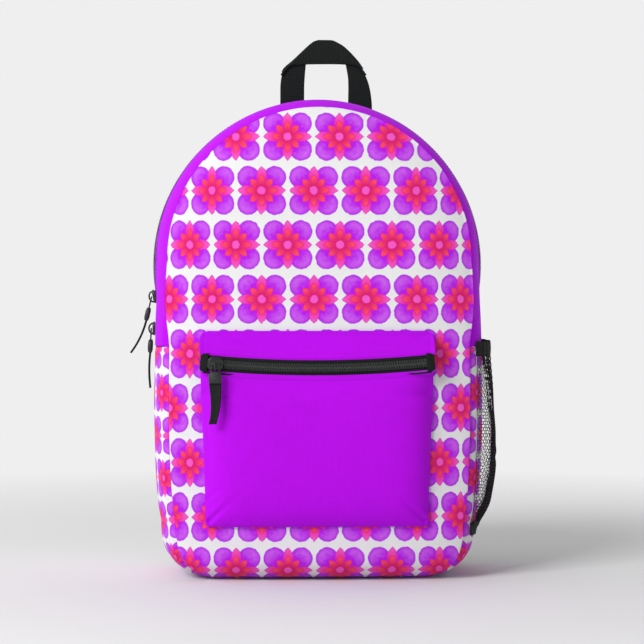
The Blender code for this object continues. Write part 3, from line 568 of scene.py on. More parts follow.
ZF, ZR = ZIP_Y - ZIP_HALF - GAP, ZIP_Y + ZIP_HALF + GAP
EDGE_B = BACK_Y - GAP
TOP_Z = ARCH_Z + ARCH_R


def back_face(x, z):
    d = seam_distance(x, z, 0.009)
    return BACK_Y + 0.0022 + 0.0030 * (1 - math.exp(-d / 0.02))


RIDGE_W, RIDGE_H = 0.0031, 0.0021


def zip_out(s):
    """Gusset point on the zip's middle line and the direction square to the tape there."""
    p = gusset_point(s, ZIP_Y)
    w = smooth((p.z - 0.2385) / 0.0120)
    arc = Vector((p.x, 0, p.z - ZIP_CZ)).normalized()
    return p, (arc * w + Vector((math.copysign(1, s), 0, 0)) * (1 - w)).normalized()


def left_zip_frame(z):
    """Frame on the left run of the main zip at a height, or on its arc."""
    s = -s_at(z) if z < ARCH_Z else None
    p = gusset_point(s, ZIP_Y)
    if z > 0.2505:
        out = Vector((p.x, 0, p.z - ZIP_CZ)).normalized()
    else:
        out = Vector((-1, 0, 0))
    return p, upright(p, out, (0, -1, 0))


UPPER_Z = 0.2575
a0 = math.asin((UPPER_Z - ZIP_CZ) / ZIP_R)
at_upper = Vector((-ZIP_R * math.cos(a0), ZIP_Y, UPPER_Z))
up_frame = upright(at_upper, (at_upper.x, 0, at_upper.z - ZIP_CZ), (0, -1, 0))
LOWER_Z = 0.2270
low_p, low_frame = left_zip_frame(LOWER_Z)


def pocket_zip_z(x):
    return POCKET_ZIP_Z + POCKET_ZIP_R - math.sqrt(POCKET_ZIP_R ** 2 - (x - POCKET_CX) ** 2)


def pocket_half(z):
    return POCKET_LOW_W + (POCKET_TOP_W - POCKET_LOW_W) * smooth((z - POCKET_Z0) / (POCKET_Z1 - POCKET_Z0))


def pocket_face(x, z):
    """Outer face of the front pocket: seated on the panel at its edges, stuffed in the middle."""
    w = pocket_half(z)
    zz = pocket_zip_z(x)
    seat = front_face(x, z) - 0.0030
    side = 1 - math.exp(-max(0.0, w - abs(x - POCKET_CX)) / 0.010)
    foot = 1 - math.exp(-max(0.0, z - POCKET_Z0) / 0.011)
    depth = 0.0140 * side * foot
    full = seat - depth
    if z > zz - 0.030:                       # eases into the plane of the zip
        k = smooth((zz - POCKET_ZIP_HALF - z) / 0.022) if z < zz else 0.0
        flat = POCKET_ZIP_Y
        if z > zz + POCKET_ZIP_HALF:         # and back to the panel along the top seam
            t = smooth((z - zz - POCKET_ZIP_HALF) / max(1e-6, POCKET_Z1 - zz - POCKET_ZIP_HALF))
            flat = POCKET_ZIP_Y * (1 - t) + seat * t
        full = full * k + flat * (1 - k)
        if z < zz - POCKET_ZIP_HALF:
            full = full * side + seat * (1 - side)
    return min(full, seat)


PX = -0.0946
pa = math.asin((PX - POCKET_CX) / POCKET_ZIP_R)
pz = pocket_zip_z(PX)
along = Vector((math.cos(pa), 0, math.sin(pa)))
p_frame = upright((PX, POCKET_ZIP_Y, pz), (0, -1, 0), along.cross(Vector((0, -1, 0))))
pull_at = p_frame @ Vector((0.0078, 0, 0))

MESH_Z0, MESH_Z1, BAND_Z1 = 0.0440, 0.2036, 0.2165
MESH_Y0, MESH_Y1 = -0.0400, 0.0530


def mesh_point(y, z):
    p = gusset_point(s_at(z), y)
    q = (y - MESH_Y0) / (MESH_Y1 - MESH_Y0)
    across = (1 - abs(2 * q - 1) ** 3.0)
    up = through((MESH_Z0, 0.052, 0.070, 0.100, 0.130, 0.165, 0.190, MESH_Z1, BAND_Z1),
                 (0.0, 0.0045, 0.0098, 0.0122, 0.0118, 0.0095, 0.0078, 0.0072, 0.0074), z)
    seat = 0.0016 + 0.0006 * (1 - across)
    return Vector((p.x + seat + (up - 0.0005) * across, y, z))


HX, HY = 0.0097, 0.0670           # middle of the handle and its plane
LEG_IN, LEG_OUT = 0.0211, 0.0440  # inner and outer edge of each leg from its middle
HZ, BAR0, BAR1 = 0.4425, 0.4790, 0.5025


TOP_A = (0.0480, 0.0700, 0.3680)      # upper end of a strap, right-hand side
LOW_B = (0.1260, 0.0700, 0.0500)      # lower end
LINE_L = math.dist(TOP_A, LOW_B)
T_ROOT, T_PAD, T_LOW = 0.140, 0.680, 0.965


def strap_line(t, sg):
    """Centre of a strap at the fraction t of the way down: bowed away from the back, curved outwards."""
    a, b = Vector(TOP_A), Vector(LOW_B)
    p = a.lerp(b, t)
    y = through((0, 0.06, T_ROOT, 0.26, 0.42, 0.56, 0.70, 0.85, T_LOW, 1.0),
                (0.0045, 0.0075, 0.0165, 0.0340, 0.0480, 0.0490, 0.0390, 0.0220, 0.0075, 0.0040), t)
    lat = -0.0100 * math.sin(math.pi * min(1, t / 0.7)) ** 2
    side = Vector((b.z - a.z, 0, -(b.x - a.x))).normalized() * -1
    q = p + Vector((0, y, 0)) + side * lat
    return Vector((sg * q.x, q.y, q.z))


def strap_frame(t, sg):
    """Point, across and outward directions of a strap."""
    e = 0.004
    d = (strap_line(min(1, t + e), sg) - strap_line(max(0, t - e), sg)).normalized()
    run = (Vector((sg * LOW_B[0], LOW_B[1], LOW_B[2])) - Vector((sg * TOP_A[0], TOP_A[1], TOP_A[2]))).normalized()
    across = run.cross(Vector((0, 1, 0))).normalized()
    out = across.cross(run)
    slope = Vector((0, 1, 0)) - d * d.y
    return strap_line(t, sg), across, slope.normalized() if slope.y > 0 else -slope.normalized()


def pad_half(t):
    return through((0, 0.08, 0.30, 0.56, 0.64, T_PAD), (0.0270, 0.0280, 0.0310, 0.0290, 0.0250, 0.0190), t)




# ============================================================== building tools
looks = bpy.data.collections.new("looks")
scene.collection.children.link(looks)


def place(name, me, mats):
    o = bpy.data.objects.new(name, me)
    looks.objects.link(o)
    for m in (mats if isinstance(mats, (list, tuple)) else [mats]):
        me.materials.append(m)
    return o


def mesh_from(name, verts, faces, mats, uvs=None, face_mats=None, weld=0.0, sharp=None):
    me = bpy.data.meshes.new(name)
    me.from_pydata(np.asarray(verts, float).tolist(), [], faces)
    lay = me.uv_layers.new(name="cloth")
    if uvs is not None:
        idx = np.empty(len(me.loops), np.int32)
        me.loops.foreach_get("vertex_index", idx)
        lay.data.foreach_set("uv", np.asarray(uvs, np.float32)[idx].ravel())
    if face_mats is not None:
        me.polygons.foreach_set("material_index", np.asarray(face_mats, np.int32))
    if weld:
        bm = bmesh.new()
        bm.from_mesh(me)
        bmesh.ops.remove_doubles(bm, verts=bm.verts, dist=weld)
        bm.to_mesh(me)
        bm.free()
    me.shade_smooth()
    if sharp:
        me.set_sharp_from_angle(angle=math.radians(sharp))
    me.update()
    return place(name, me, mats)


def shell(name, P, UV, thick, mats, outward, rims=(1, 1, 1, 1), weld=0.0, offset=None):
    """A closed sheet from a grid of outer points, its inner face on the second material."""
    P = np.asarray(P, float)
    R, C = P.shape[:2]
    n = np.cross(np.gradient(P, axis=1), np.gradient(P, axis=0))
    n /= np.maximum(np.linalg.norm(n, axis=2, keepdims=True), 1e-12)
    out = outward(P) if callable(outward) else np.asarray(outward, float)
    flip = float((n * out).sum()) < 0
    if flip:
        n = -n
    if offset is not None:
        n = np.broadcast_to(-np.asarray(offset, float), P.shape)
    inner = P - n * thick
    verts = np.concatenate([P.reshape(-1, 3), inner.reshape(-1, 3)])
    uv = np.tile(np.asarray(UV, float).reshape(-1, 2), (2, 1))
    N = R * C
    i = np.arange(N).reshape(R, C)
    q = np.stack([i[:-1, :-1], i[:-1, 1:], i[1:, 1:], i[1:, :-1]], -1).reshape(-1, 4)
    faces, fm = [], []
    outer, inn = (q[:, ::-1], q + N) if flip else (q, (q + N)[:, ::-1])
    two = 1 if isinstance(mats, (list, tuple)) and len(mats) > 1 else 0
    faces += outer.tolist() + inn.tolist()
    fm += [0] * len(outer) + [two] * len(inn)
    edges = []
    if rims[0]: edges += [(i[0, c], i[0, c + 1]) for c in range(C - 1)]
    if rims[1]: edges += [(i[R - 1, c + 1], i[R - 1, c]) for c in range(C - 1)]
    if rims[2]: edges += [(i[r + 1, 0], i[r, 0]) for r in range(R - 1)]
    if rims[3]: edges += [(i[r, C - 1], i[r + 1, C - 1]) for r in range(R - 1)]
    for a, b in edges:
        f = [int(b), int(a), int(a) + N, int(b) + N]
        faces.append(f[::-1] if flip else f)
        fm.append(0)
    return mesh_from(name, verts, faces, mats, uv, fm, weld)


def sweep(name, pts, ups, half_w, thick, mat, crown=0.0, soft=0.3, us=None):
    """Webbing: a flat band with rounded edges swept along pts, its face turned to ups."""
    pts, ups = np.asarray(pts, float), np.asarray(ups, float)
    tan = np.gradient(pts, axis=0)
    tan /= np.linalg.norm(tan, axis=1, keepdims=True)
    side = np.cross(tan, ups)
    side /= np.linalg.norm(side, axis=1, keepdims=True)
    up = np.cross(side, tan)
    hw = np.broadcast_to(np.asarray(half_w, float), (len(pts),))
    prof = []
    for sx, sy in ((-1, 1), (1, 1), (1, -1), (-1, -1)):
        pass
    xs = list(np.linspace(-1, 1, 9))
    k = thick * soft
    ring = [(x, 1.0, 0.0) for x in xs] + [(1.0, 0.0, k)] + [(x, -1.0, 0.0) for x in xs[::-1]] + [(-1.0, 0.0, -k)]
    along = np.concatenate([[0.0], np.cumsum(np.linalg.norm(np.diff(pts, axis=0), axis=1))])
    verts, uvs = [], []
    for j in range(len(pts)):
        for x, s, ex in ring:
            edge_in = thick * 0.30 if abs(x) > 0.999 and s else 0.0
            w = x * (hw[j] - (edge_in * 0.6 if s else 0)) + ex
            h = s * (thick / 2 - edge_in * 0.55) + crown * (1 - x * x)
            verts.append(pts[j] + side[j] * w + up[j] * h)
            uvs.append((x * hw[j], along[j]))
    m = len(ring)
    faces = []
    for j in range(len(pts) - 1):
        for a in range(m):
            b = (a + 1) % m
            faces.append([j * m + a, j * m + b, (j + 1) * m + b, (j + 1) * m + a])
    faces.append([a for a in range(m)][::-1])
    faces.append([(len(pts) - 1) * m + a for a in range(m)])
    me = bpy.data.meshes.new(name)
    o = mesh_from(name, verts, faces, mat, uvs, None, 0.0, 50)
    fix_normals(o)
    return o


def fix_normals(o):
    bm = bmesh.new()
    bm.from_mesh(o.data)
    bmesh.ops.recalc_face_normals(bm, faces=bm.faces)
    bm.to_mesh(o.data)
    bm.free()
    return o


def bake(o, smooth=True, sharp=None):
    """Applies the modifiers."""
    bpy.context.view_layer.update()
    me = bpy.data.meshes.new_from_object(o.evaluated_get(bpy.context.evaluated_depsgraph_get()))
    o.modifiers.clear()
    old = o.data
    o.data = me
    bpy.data.meshes.remove(old)
    if smooth:
        me.shade_smooth()
    if sharp:
        me.set_sharp_from_angle(angle=math.radians(sharp))
    return o


def bevelled(o, width, segments=2, angle=35, sub=0):
    m = o.modifiers.new("edges", "BEVEL")
    m.width, m.segments, m.limit_method, m.angle_limit = width, segments, "ANGLE", math.radians(angle)
    m.harden_normals = False
    return bake(o, True, 60)


def prism(name, loop, z0, z1, mat, frame=None, bevel=0.0006, taper=1.0, segments=2):
    """An extruded outline, its corners rounded, placed by a matrix."""
    n = len(loop)
    cx, cy = np.mean([p[0] for p in loop]), np.mean([p[1] for p in loop])
    v = [(x, y, z0) for x, y in loop] + [(cx + (x - cx) * taper, cy + (y - cy) * taper, z1) for x, y in loop]
    f = [list(range(n))[::-1], list(range(n, 2 * n))] + [[i, (i + 1) % n, n + (i + 1) % n, n + i] for i in range(n)]
    o = mesh_from(name, v, f, mat)
    fix_normals(o)
    if bevel:
        bevelled(o, bevel, segments)
    if frame is not None:
        o.data.transform(frame)
    return o


def capsules(name, items, mat, sides=6, rings=((-1.0, 0.35), (-0.82, 0.85), (0.0, 1.0), (0.82, 0.85), (1.0, 0.35)), sag=0.0):
    """Many small rounded bars: items of (middle, half vector along, half vector across, half vector out)."""
    V, F = [], []
    k = 0
    ang = [2 * math.pi * (a + 0.5) / sides for a in range(sides)]
    cs = np.array([(math.cos(a), math.sin(a)) for a in ang])
    for mid, al, ac, up in items:
        mid, al, ac, up = (np.asarray(q, float) for q in (mid, al, ac, up))
        for t, r in rings:
            c = mid + al * t - up * (sag * t * t)
            V.append(c + r * (cs[:, :1] * ac + cs[:, 1:] * up))
        m = len(rings)
        for j in range(m - 1):
            for a in range(sides):
                b = (a + 1) % sides
                F.append((k + j * sides + a, k + j * sides + b, k + (j + 1) * sides + b, k + (j + 1) * sides + a))
        F.append(tuple(k + a for a in range(sides))[::-1])
        F.append(tuple(k + (m - 1) * sides + a for a in range(sides)))
        k += m * sides
    V = np.concatenate(V)
    o = mesh_from(name, V, F, mat, V[:, [0, 2]])
    # the bars' winding depends on the handedness of their axes, which is the same for all of them
    mid, al, ac, up = (np.asarray(q, float) for q in items[0])
    if float(np.dot(np.cross(ac, up), al)) < 0:
        o.data.flip_normals()
    return o


def resample(pts, step):
    pts = np.asarray(pts, float)
    d = np.concatenate([[0.0], np.cumsum(np.linalg.norm(np.diff(pts, axis=0), axis=1))])
    n = max(2, int(round(d[-1] / step)) + 1)
    at = np.linspace(0, d[-1], n)
    return np.stack([np.interp(at, d, pts[:, k]) for k in range(3)], 1)


def stitch_items(pts, normals, length=0.0023, gap=0.0008, radius=0.00026, lift=0.00008):
    """Stitches along a line that lies on the cloth."""
    pts, normals = np.asarray(pts, float), np.asarray(normals, float)
    d = np.concatenate([[0.0], np.cumsum(np.linalg.norm(np.diff(pts, axis=0), axis=1))])
    at = lambda q: np.array([np.interp(q, d, pts[:, k]) for k in range(3)])
    nat = lambda q: np.array([np.interp(q, d, normals[:, k]) for k in range(3)])
    items, q, pitch = [], gap, length + gap
    while q + length < d[-1]:
        a, b = at(q), at(q + length)
        n = nat(q + length / 2)
        n /= np.linalg.norm(n)
        al = (b - a) / 2
        n = n - al * float(n @ al) / float(al @ al)
        n /= np.linalg.norm(n)
        ac = np.cross(n, al)
        ac /= np.linalg.norm(ac)
        items.append(((a + b) / 2 + n * lift, al, ac * radius, n * radius * 0.75))
        q += pitch
    return items


def wire(name, pts, radius, mat, sides=8, cyclic=False):
    cu = bpy.data.curves.new(name, "CURVE")
    cu.dimensions = "3D"
    sp = cu.splines.new("NURBS" if len(pts) > 3 else "POLY")
    sp.points.add(len(pts) - 1)
    for p, q in zip(sp.points, pts):
        p.co = (*q, 1.0)
    if sp.type == "NURBS":
        sp.order_u, sp.use_endpoint_u, sp.resolution_u = 3, not cyclic, 6
    sp.use_cyclic_u = cyclic
    cu.bevel_depth, cu.bevel_resolution, cu.use_fill_caps = radius, max(1, sides // 2 - 2), True
    o = bpy.data.objects.new(name, cu)
    looks.objects.link(o)
    bpy.context.view_layer.update()
    me = bpy.data.meshes.new_from_object(o.evaluated_get(bpy.context.evaluated_depsgraph_get()))
    bpy.data.objects.remove(o)
    bm = bmesh.new()
    bm.from_mesh(me)
    bmesh.ops.remove_doubles(bm, verts=bm.verts, dist=1e-6)
    bmesh.ops.recalc_face_normals(bm, faces=bm.faces)
    bm.to_mesh(me)
    bm.free()
    me.shade_smooth()
    if not me.uv_layers:
        me.uv_layers.new(name="cloth")
    me.materials.clear()
    return place(name, me, mat)


def join(name, *objs):
    """Several meshes as one piece, each keeping its material."""
    mats, V, F, M, U, S = [], [], [], [], [], []
    k = 0
    for o in objs:
        me = o.data
        mw = np.array(o.matrix_world)
        co = np.empty(len(me.vertices) * 3)
        me.vertices.foreach_get("co", co)
        co = co.reshape(-1, 3) @ mw[:3, :3].T + mw[:3, 3]
        slots = []
        for m in me.materials:
            if m not in mats:
                mats.append(m)
            slots.append(mats.index(m))
        uvl = me.uv_layers.get("cloth") or (me.uv_layers[0] if me.uv_layers else None)
        uv = np.zeros(len(me.loops) * 2, np.float32)
        if uvl:
            uvl.data.foreach_get("uv", uv)
        U.append(uv.reshape(-1, 2))
        sh = np.zeros(len(me.edges), bool)
        for p in me.polygons:
            F.append([v + k for v in p.vertices])
            M.append(slots[p.material_index] if slots else 0)
        V.append(co)
        k += len(co)
    for o in objs:
        bpy.data.objects.remove(o)
    me = bpy.data.meshes.new(name)
    me.from_pydata(np.concatenate(V).tolist(), [], F)
    lay = me.uv_layers.new(name="cloth")
    lay.data.foreach_set("uv", np.concatenate(U).ravel())
    me.polygons.foreach_set("material_index", np.asarray(M, np.int32))
    me.shade_smooth()
    me.set_sharp_from_angle(angle=math.radians(50))
    me.update()
    return place(name, me, mats)


def planar_uv(o, axes=(0, 2)):
    me = o.data
    lay = me.uv_layers.get("cloth") or me.uv_layers.new(name="cloth")
    co = np.empty(len(me.vertices) * 3)
    me.vertices.foreach_get("co", co)
    co = co.reshape(-1, 3)
    idx = np.empty(len(me.loops), np.int32)
    me.loops.foreach_get("vertex_index", idx)
    lay.data.foreach_set("uv", co[idx][:, list(axes)].astype(np.float32).ravel())
    return o


def stuff(o, cap, pressure=4.0, voxel=0.005, frames=20, hold=None):
    """Fills a closed form like a stuffed pad: remesh, cloth under pressure with gravity off, capped, one subdivision."""
    bpy.context.view_layer.update()
    r = o.modifiers.new("even", "REMESH")
    r.mode, r.voxel_size = "VOXEL", voxel
    bake(o)
    n = len(o.data.vertices)
    rest = np.empty(n * 3)
    o.data.vertices.foreach_get("co", rest)
    rest = rest.reshape(-1, 3)
    if hold is not None:
        g = o.vertex_groups.new(name="held")
        w = hold(rest)
        for i in range(n):
            if w[i] > 0:
                g.add([i], float(w[i]), "REPLACE")
    c = o.modifiers.new("fill", "CLOTH")
    c.settings.quality = 5
    c.settings.mass = 0.2
    c.settings.tension_stiffness = c.settings.compression_stiffness = 25
    c.settings.bending_stiffness = 2.0
    c.settings.use_pressure = True
    c.settings.uniform_pressure_force = pressure
    c.settings.effector_weights.gravity = 0.0
    c.collision_settings.use_collision = False
    if hold is not None:
        c.settings.vertex_group_mass = "held"
    c.point_cache.frame_start, c.point_cache.frame_end = 1, frames
    for f in range(1, frames + 1):
        scene.frame_set(f)
    me = bpy.data.meshes.new_from_object(o.evaluated_get(bpy.context.evaluated_depsgraph_get()))
    co = np.empty(len(me.vertices) * 3)
    me.vertices.foreach_get("co", co)
    co = co.reshape(-1, 3)
    move = co - rest
    far = np.maximum(np.linalg.norm(move, axis=1, keepdims=True), 1e-9)
    move *= np.minimum(1.0, cap / far)
    o.modifiers.clear()
    o.data.vertices.foreach_set("co", (rest + move).ravel())
    scene.frame_set(1)
    bpy.data.meshes.remove(me)
    s = o.modifiers.new("soft", "SUBSURF")
    s.levels = s.render_levels = 1
    bake(o)
    o.vertex_groups.clear()
    return o


def with_flap(o):
    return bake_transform(o)


def edge_np(s):
    p, n = edge(s)
    return np.array([p[0], 0.0, p[1]]), np.array([n[0], 0.0, n[1]])


def ripple(x, z, scale=1.0):
    """A gentle unevenness of stuffed cloth, between -1 and 1."""
    return (np.sin(41 * scale * x + 17 * scale * z + 0.7) * 0.35 + np.sin(23 * scale * x - 37 * scale * z + 2.1) * 0.35
            + np.sin(71 * scale * x + 59 * scale * z + 4.0) * 0.15 + np.sin(97 * scale * z - 83 * scale * x) * 0.15)


# ============================================================== the bag's cloth
S_END = s_at(0.2120)     # where the plain gusset meets the printed side


def face_z_samples():
    """Heights down one side from the arch to the rolled-under foot."""
    up = np.linspace(ARCH_Z, 0.030, 96)
    mid = np.linspace(0.030, ROLL, 6)[1:]
    low = [ROLL * (1 - math.sin(a)) for a in np.linspace(0, math.asin(1 - 0.0008 / ROLL), 20)][1:]
    return np.concatenate([up, mid, low])


def lower_inset(z):
    """The front seam sits further in over the lower half of the bag."""
    return 0.0058 * smooth((0.2600 - z) / 0.055)


def printed(x):
    """Place across the cloth of a point x on the face: the cloth is drawn round towards its seams."""
    return math.copysign(abs(x) + 2.1 * max(0.0, abs(x) - 0.065) ** 2, x)


def panel_grid(inset, fy, ts, turn, samples=None, arch=110, extra=lambda z: 0.0):
    """Rows from the middle of a face out to its seam, all the way round from foot to foot, with a turned edge."""
    zs = face_z_samples() if samples is None else samples
    spine, rim = [], []
    for z in zs[::-1]:
        spine.append((0.0, z)), rim.append((-inset_half(z, inset + extra(z)), z))
    for a in np.linspace(math.pi, 0, arch + 1)[1:-1]:
        spine.append((0.0, ARCH_Z))
        rim.append(((ARCH_R - inset) * math.cos(a), ARCH_Z + (ARCH_R - inset) * math.sin(a)))
    for z in zs:
        spine.append((0.0, z)), rim.append((inset_half(z, inset + extra(z)), z))
    rows, uv = [], []
    for k, (c, b) in enumerate(zip(spine, rim)):
        row, ruv = [], []
        for t in ts:
            x, z = c[0] + (b[0] - c[0]) * t, c[1] + (b[1] - c[1]) * t
            row.append((x, fy(x, z), z))
            v = z if z > ROLL else ROLL - ROLL * math.asin(min(1.0, (ROLL - z) / ROLL))
            ruv.append((printed(x), v))
        bx, bz = b
        y0 = fy(bx, bz)
        n = np.array([bx, 0 if bz < ARCH_Z else bz - ARCH_Z])
        n = n / max(1e-9, np.linalg.norm(n))
        for d, dy in turn:
            row.append((bx + n[0] * d, y0 + dy, bz + n[1] * d))
            ruv.append((printed(bx) + n[0] * d, ruv[-1][1]))
        rows.append(row), uv.append(ruv)
    return np.array(rows), np.array(uv)


def front_soft(x, z):
    d = seam_distance(x, z, 0.0115)
    y = front_face(x, z)
    y -= 0.0005 * float(ripple(x, z, 0.7)) * smooth(d / 0.03)
    y += 0.00035 * math.exp(-d / 0.006) * math.sin(2 * math.pi * (z + 0.6 * abs(x)) / 0.021)      # seam pucker
    under = smooth((0.262 - z) / 0.02) * smooth((0.128 - abs(x)) / 0.02)
    return y + 0.0


TS = np.concatenate([np.linspace(0, 0.80, 26), 1 - 0.20 * (1 - np.linspace(0, 1, 16)[1:]) ** 1.4])
P, UV = panel_grid(0.0098, front_soft, TS, ((-0.0004, 0.0010), (-0.0008, 0.0024), (-0.0010, 0.0042)), extra=lower_inset)
front = shell("front_panel", P, UV, 0.0016, [M_FRONT, M_LINING], (0, -1, 0), rims=(1, 1, 0, 1), weld=1e-6, offset=(0, 1, 0))
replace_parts(front, "front_panel_lower", "front_panel_upper")
with_flap(front)


def gusset_grid(ss, ys, extra_front=True, fold=None, ends=0.0):
    """The gusset between outline distances, with its front edge turned into the seam and its zip edge folded."""
    rows, uv = [], []
    for s in ss:
        p, n = edge(s)
        z = p[1]
        yf = front_y(z) + roll(z)
        low = smooth((abs(s) - (TOTAL - 0.16)) / 0.07)
        sc = (0.011 * (1 - low) + 0.001 * low) / 0.011
        row = []
        if extra_front:
            for o, dy in ((0.0110, 0.0040), (0.0103, 0.0014), (0.0093, 0.0007), (0.0087, 0.0014)):
                q = p - n * ((o + (lower_inset(z) if z < ARCH_Z else 0.0)) * sc)
                row.append((q[0], yf + dy, max(q[1], 0.0)))
        a, b = ys(z)
        for t in np.linspace(0, 1, 15):
            y = a + (b - a) * t
            g = gusset_point(s, y)
            o = 0.0004 * float(ripple(y * 2 + 0.3, s, 0.8)) * math.sin(math.pi * t)
            row.append((g.x + n[0] * o, y, max(0.0, g.z + n[1] * o)))
        if fold:
            for dy, o in fold:
                g = gusset_point(s, b)
                row.append((g.x - n[0] * o, b + dy, g.z - n[1] * o))
        row = np.array(row)
        v = np.concatenate([[0], np.cumsum(np.linalg.norm(np.diff(row, axis=0), axis=1))])
        rows.append(row)
        uv.append(np.stack([np.full(len(row), s), v], 1))
    return np.array(rows), np.array(uv)


def outward_radial(P):
    c = P.copy()
    c[..., 1] = 0
    c[..., 2] -= 0.20
    return c


top_s = np.concatenate([np.linspace(-S_END + 0.0002, -0.24, 40), np.linspace(-0.24, 0.24, 200)[1:-1], np.linspace(0.24, S_END - 0.0002, 40)])
FOLD = ((-0.0012, -0.0006), (-0.0003, -0.0004), (0.0002, 0.0004), (-0.0004, 0.0016))
P, UV = gusset_grid(top_s, lambda z: (rim_y(z) - 0.0004, ZF - 0.0012), True, [(0.0006, -0.0005), (0.0012, -0.0001), (0.0013, 0.0008), (0.0009, 0.0018)])
gf = shell("gusset_front_cloth", P, UV, 0.0013, [M_PURPLE, M_LINING], outward_radial)
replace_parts(gf, "gusset_front", "gusset_end_left", "gusset_end_right")
with_flap(gf)

P, UV = gusset_grid(top_s, lambda z: (EDGE_B, ZR + 0.0012), False, [(-0.0006, -0.0005), (-0.0012, -0.0001), (-0.0013, 0.0008), (-0.0009, 0.0018)])
gr = shell("gusset_rear_cloth", P, UV, 0.0013, [M_PURPLE, M_LINING], outward_radial)
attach(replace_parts(gr, "gusset_rear"), "bag")

# printed lower sides; their pattern is the same flower, smaller
for side, sg in (("left", -1), ("right", 1)):
    ss = np.linspace(sg * (S_END - 0.0012), sg * (TOTAL - 0.1035), 70)
    P, UV = gusset_grid(ss, lambda z: (rim_y(z) - 0.0004, EDGE_B), True)
    P[0] -= np.array([sg * 0.0022, 0, 0])          # the edge is lapped under the plain cloth
    P[1] -= np.array([sg * 0.0006, 0, 0])
    UV2 = np.stack([(UV[..., 1] - 0.012), ARCH_Z - (np.abs(UV[..., 0]) - math.pi / 2 * ARCH_R)], -1)
    o = shell(f"side_panel_cloth_{side}", P, UV2, 0.0014, [M_SIDE, M_LINING], (sg, 0, -0.2))
    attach(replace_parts(o, f"side_panel_{side}"), "bag")

rows, uvs = [], []
for s in np.linspace(TOTAL - 0.1040, TOTAL + 0.1040, 56):
    q, sg = (s, 1) if s <= TOTAL else (2 * TOTAL - s, -1)
    p, n = edge(sg * q)
    lo, hi = FRONT_Y + roll(0.0008) + 0.0002, EDGE_B + 0.0004
    ys = np.concatenate([[lo], np.linspace(lo + 0.0015, hi, 24)])
    row = [(p[0], y, max(0.0, p[1]) + (0.0004 if k == 0 else 0.0)) for k, y in enumerate(ys)]
    rows.append(row), uvs.append([(p[0], y) for y in ys])
base = shell("base_cloth", rows, uvs, 0.0014, [M_SIDE, M_LINING], (0, 0, -1))
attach(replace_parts(base, "base_panel"), "bag")

# piping along the seam where the back is sewn to the gusset: the part of its bound edge that shows outside
pts, ups = [], []
for s in np.linspace(-(TOTAL - 0.0004), TOTAL - 0.0004, 420):
    p, n = edge(s)
    q = gusset_point(s, EDGE_B)
    low = smooth((abs(s) - (TOTAL - 0.16)) / 0.07)
    pts.append((q.x, EDGE_B + 0.0010, max(0.0020, q.z)))
pts = np.array(pts)
piping = wire("back_piping", pts[::3], 0.0017, M_BLACK, 8, cyclic=True)
planar_uv(piping)
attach(piping, "bag")

# ============================================================== main zip
def zip_point(s, d, h):
    p, out = zip_out(s)
    return (p.x + out.x * h, ZIP_Y + d, p.z + out.z * h)


zs_line = np.linspace(-S_FOOT, S_FOOT, 330)
for name, sg, body, nodes in (("front", -1, "flap", ("main_zip_front",)),
                              ("rear", 1, "bag", ("main_zip_rear", "main_zip_foot_left", "main_zip_foot_right"))):
    prof = [(0.0003, -0.0002), (0.0016, -0.0001), (0.0032, -0.0003), (0.0040, -0.0008), (0.0062, -0.0009), (ZIP_HALF + 0.0024, -0.0011)]
    P = np.array([[zip_point(s, sg * d, h) for d, h in prof] for s in zs_line])
    UV = np.array([[(d, s) for d, h in prof] for s in zs_line])
    tape = shell(f"main_zip_tape_{name}", P, UV, 0.0007, [M_TAPE], outward_radial)
    n_teeth = int(2 * (S_FOOT - 0.003) / 0.00145)
    items = []
    for k in range(n_teeth):
        s = -S_FOOT + 0.003 + (k + (0.5 if sg > 0 else 0.0)) * 0.00145
        a, b = np.array(zip_point(s, sg * -0.0007, 0.0007)), np.array(zip_point(s, sg * 0.0031, 0.0006))
        t = np.array(zip_point(s + 0.001, 0, 0)) - np.array(zip_point(s - 0.001, 0, 0))
        t /= np.linalg.norm(t)
        o = np.array(zip_point(s, 0, 1.0)) - np.array(zip_point(s, 0, 0.0))
        items.append(((a + b) / 2, (b - a) / 2, t * 0.00040, o * 0.00085))
    teeth = capsules(f"main_zip_coil_{name}", items, M_COIL, sides=6)
    # two threads that hold the coil to the tape
    thread = []
    for d in (0.0013, 0.0023):
        L = [zip_point(s, sg * d, 0.00135) for s in zs_line]
        N = [np.array(zip_point(s, 0, 1.0)) - np.array(zip_point(s, 0, 0.0)) for s in zs_line]
        thread += stitch_items(L, N, 0.0012, 0.00025, 0.00016, 0.0)
    th = capsules(f"main_zip_thread_{name}", thread, M_THREAD_K, sides=4, rings=((-1, 0.5), (0, 1), (1, 0.5)), sag=0.6)
    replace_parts(tape, *nodes)
    for o in (tape, teeth, th):
        if body == "flap":
            with_flap(o)
        else:
            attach(o, "bag")

# stitching along both folded edges of the zip
def run_line(fn, ss):
    L, N = [], []
    for s in ss:
        p, n = fn(s)
        L.append(p), N.append(n)
    return L, N


def gusset_line(dy):
    def fn(s):
        y = ZIP_Y + dy
        q = gusset_point(s, y)
        p, n = edge(s)
        return (q.x + n[0] * 0.0006, y, q.z + n[1] * 0.0006), (n[0], 0, n[1])
    return fn


L, N = run_line(gusset_line(-(ZIP_HALF + 0.0030)), np.linspace(-S_FOOT, S_FOOT, 330))
o = capsules("zip_stitches_front", stitch_items(L, N), M_THREAD, sag=0.5)
with_flap(o)
L, N = run_line(gusset_line(ZIP_HALF + 0.0030), np.linspace(-S_FOOT, S_FOOT, 330))
o = capsules("zip_stitches_rear", stitch_items(L, N), M_THREAD, sag=0.5)
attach(o, "bag")

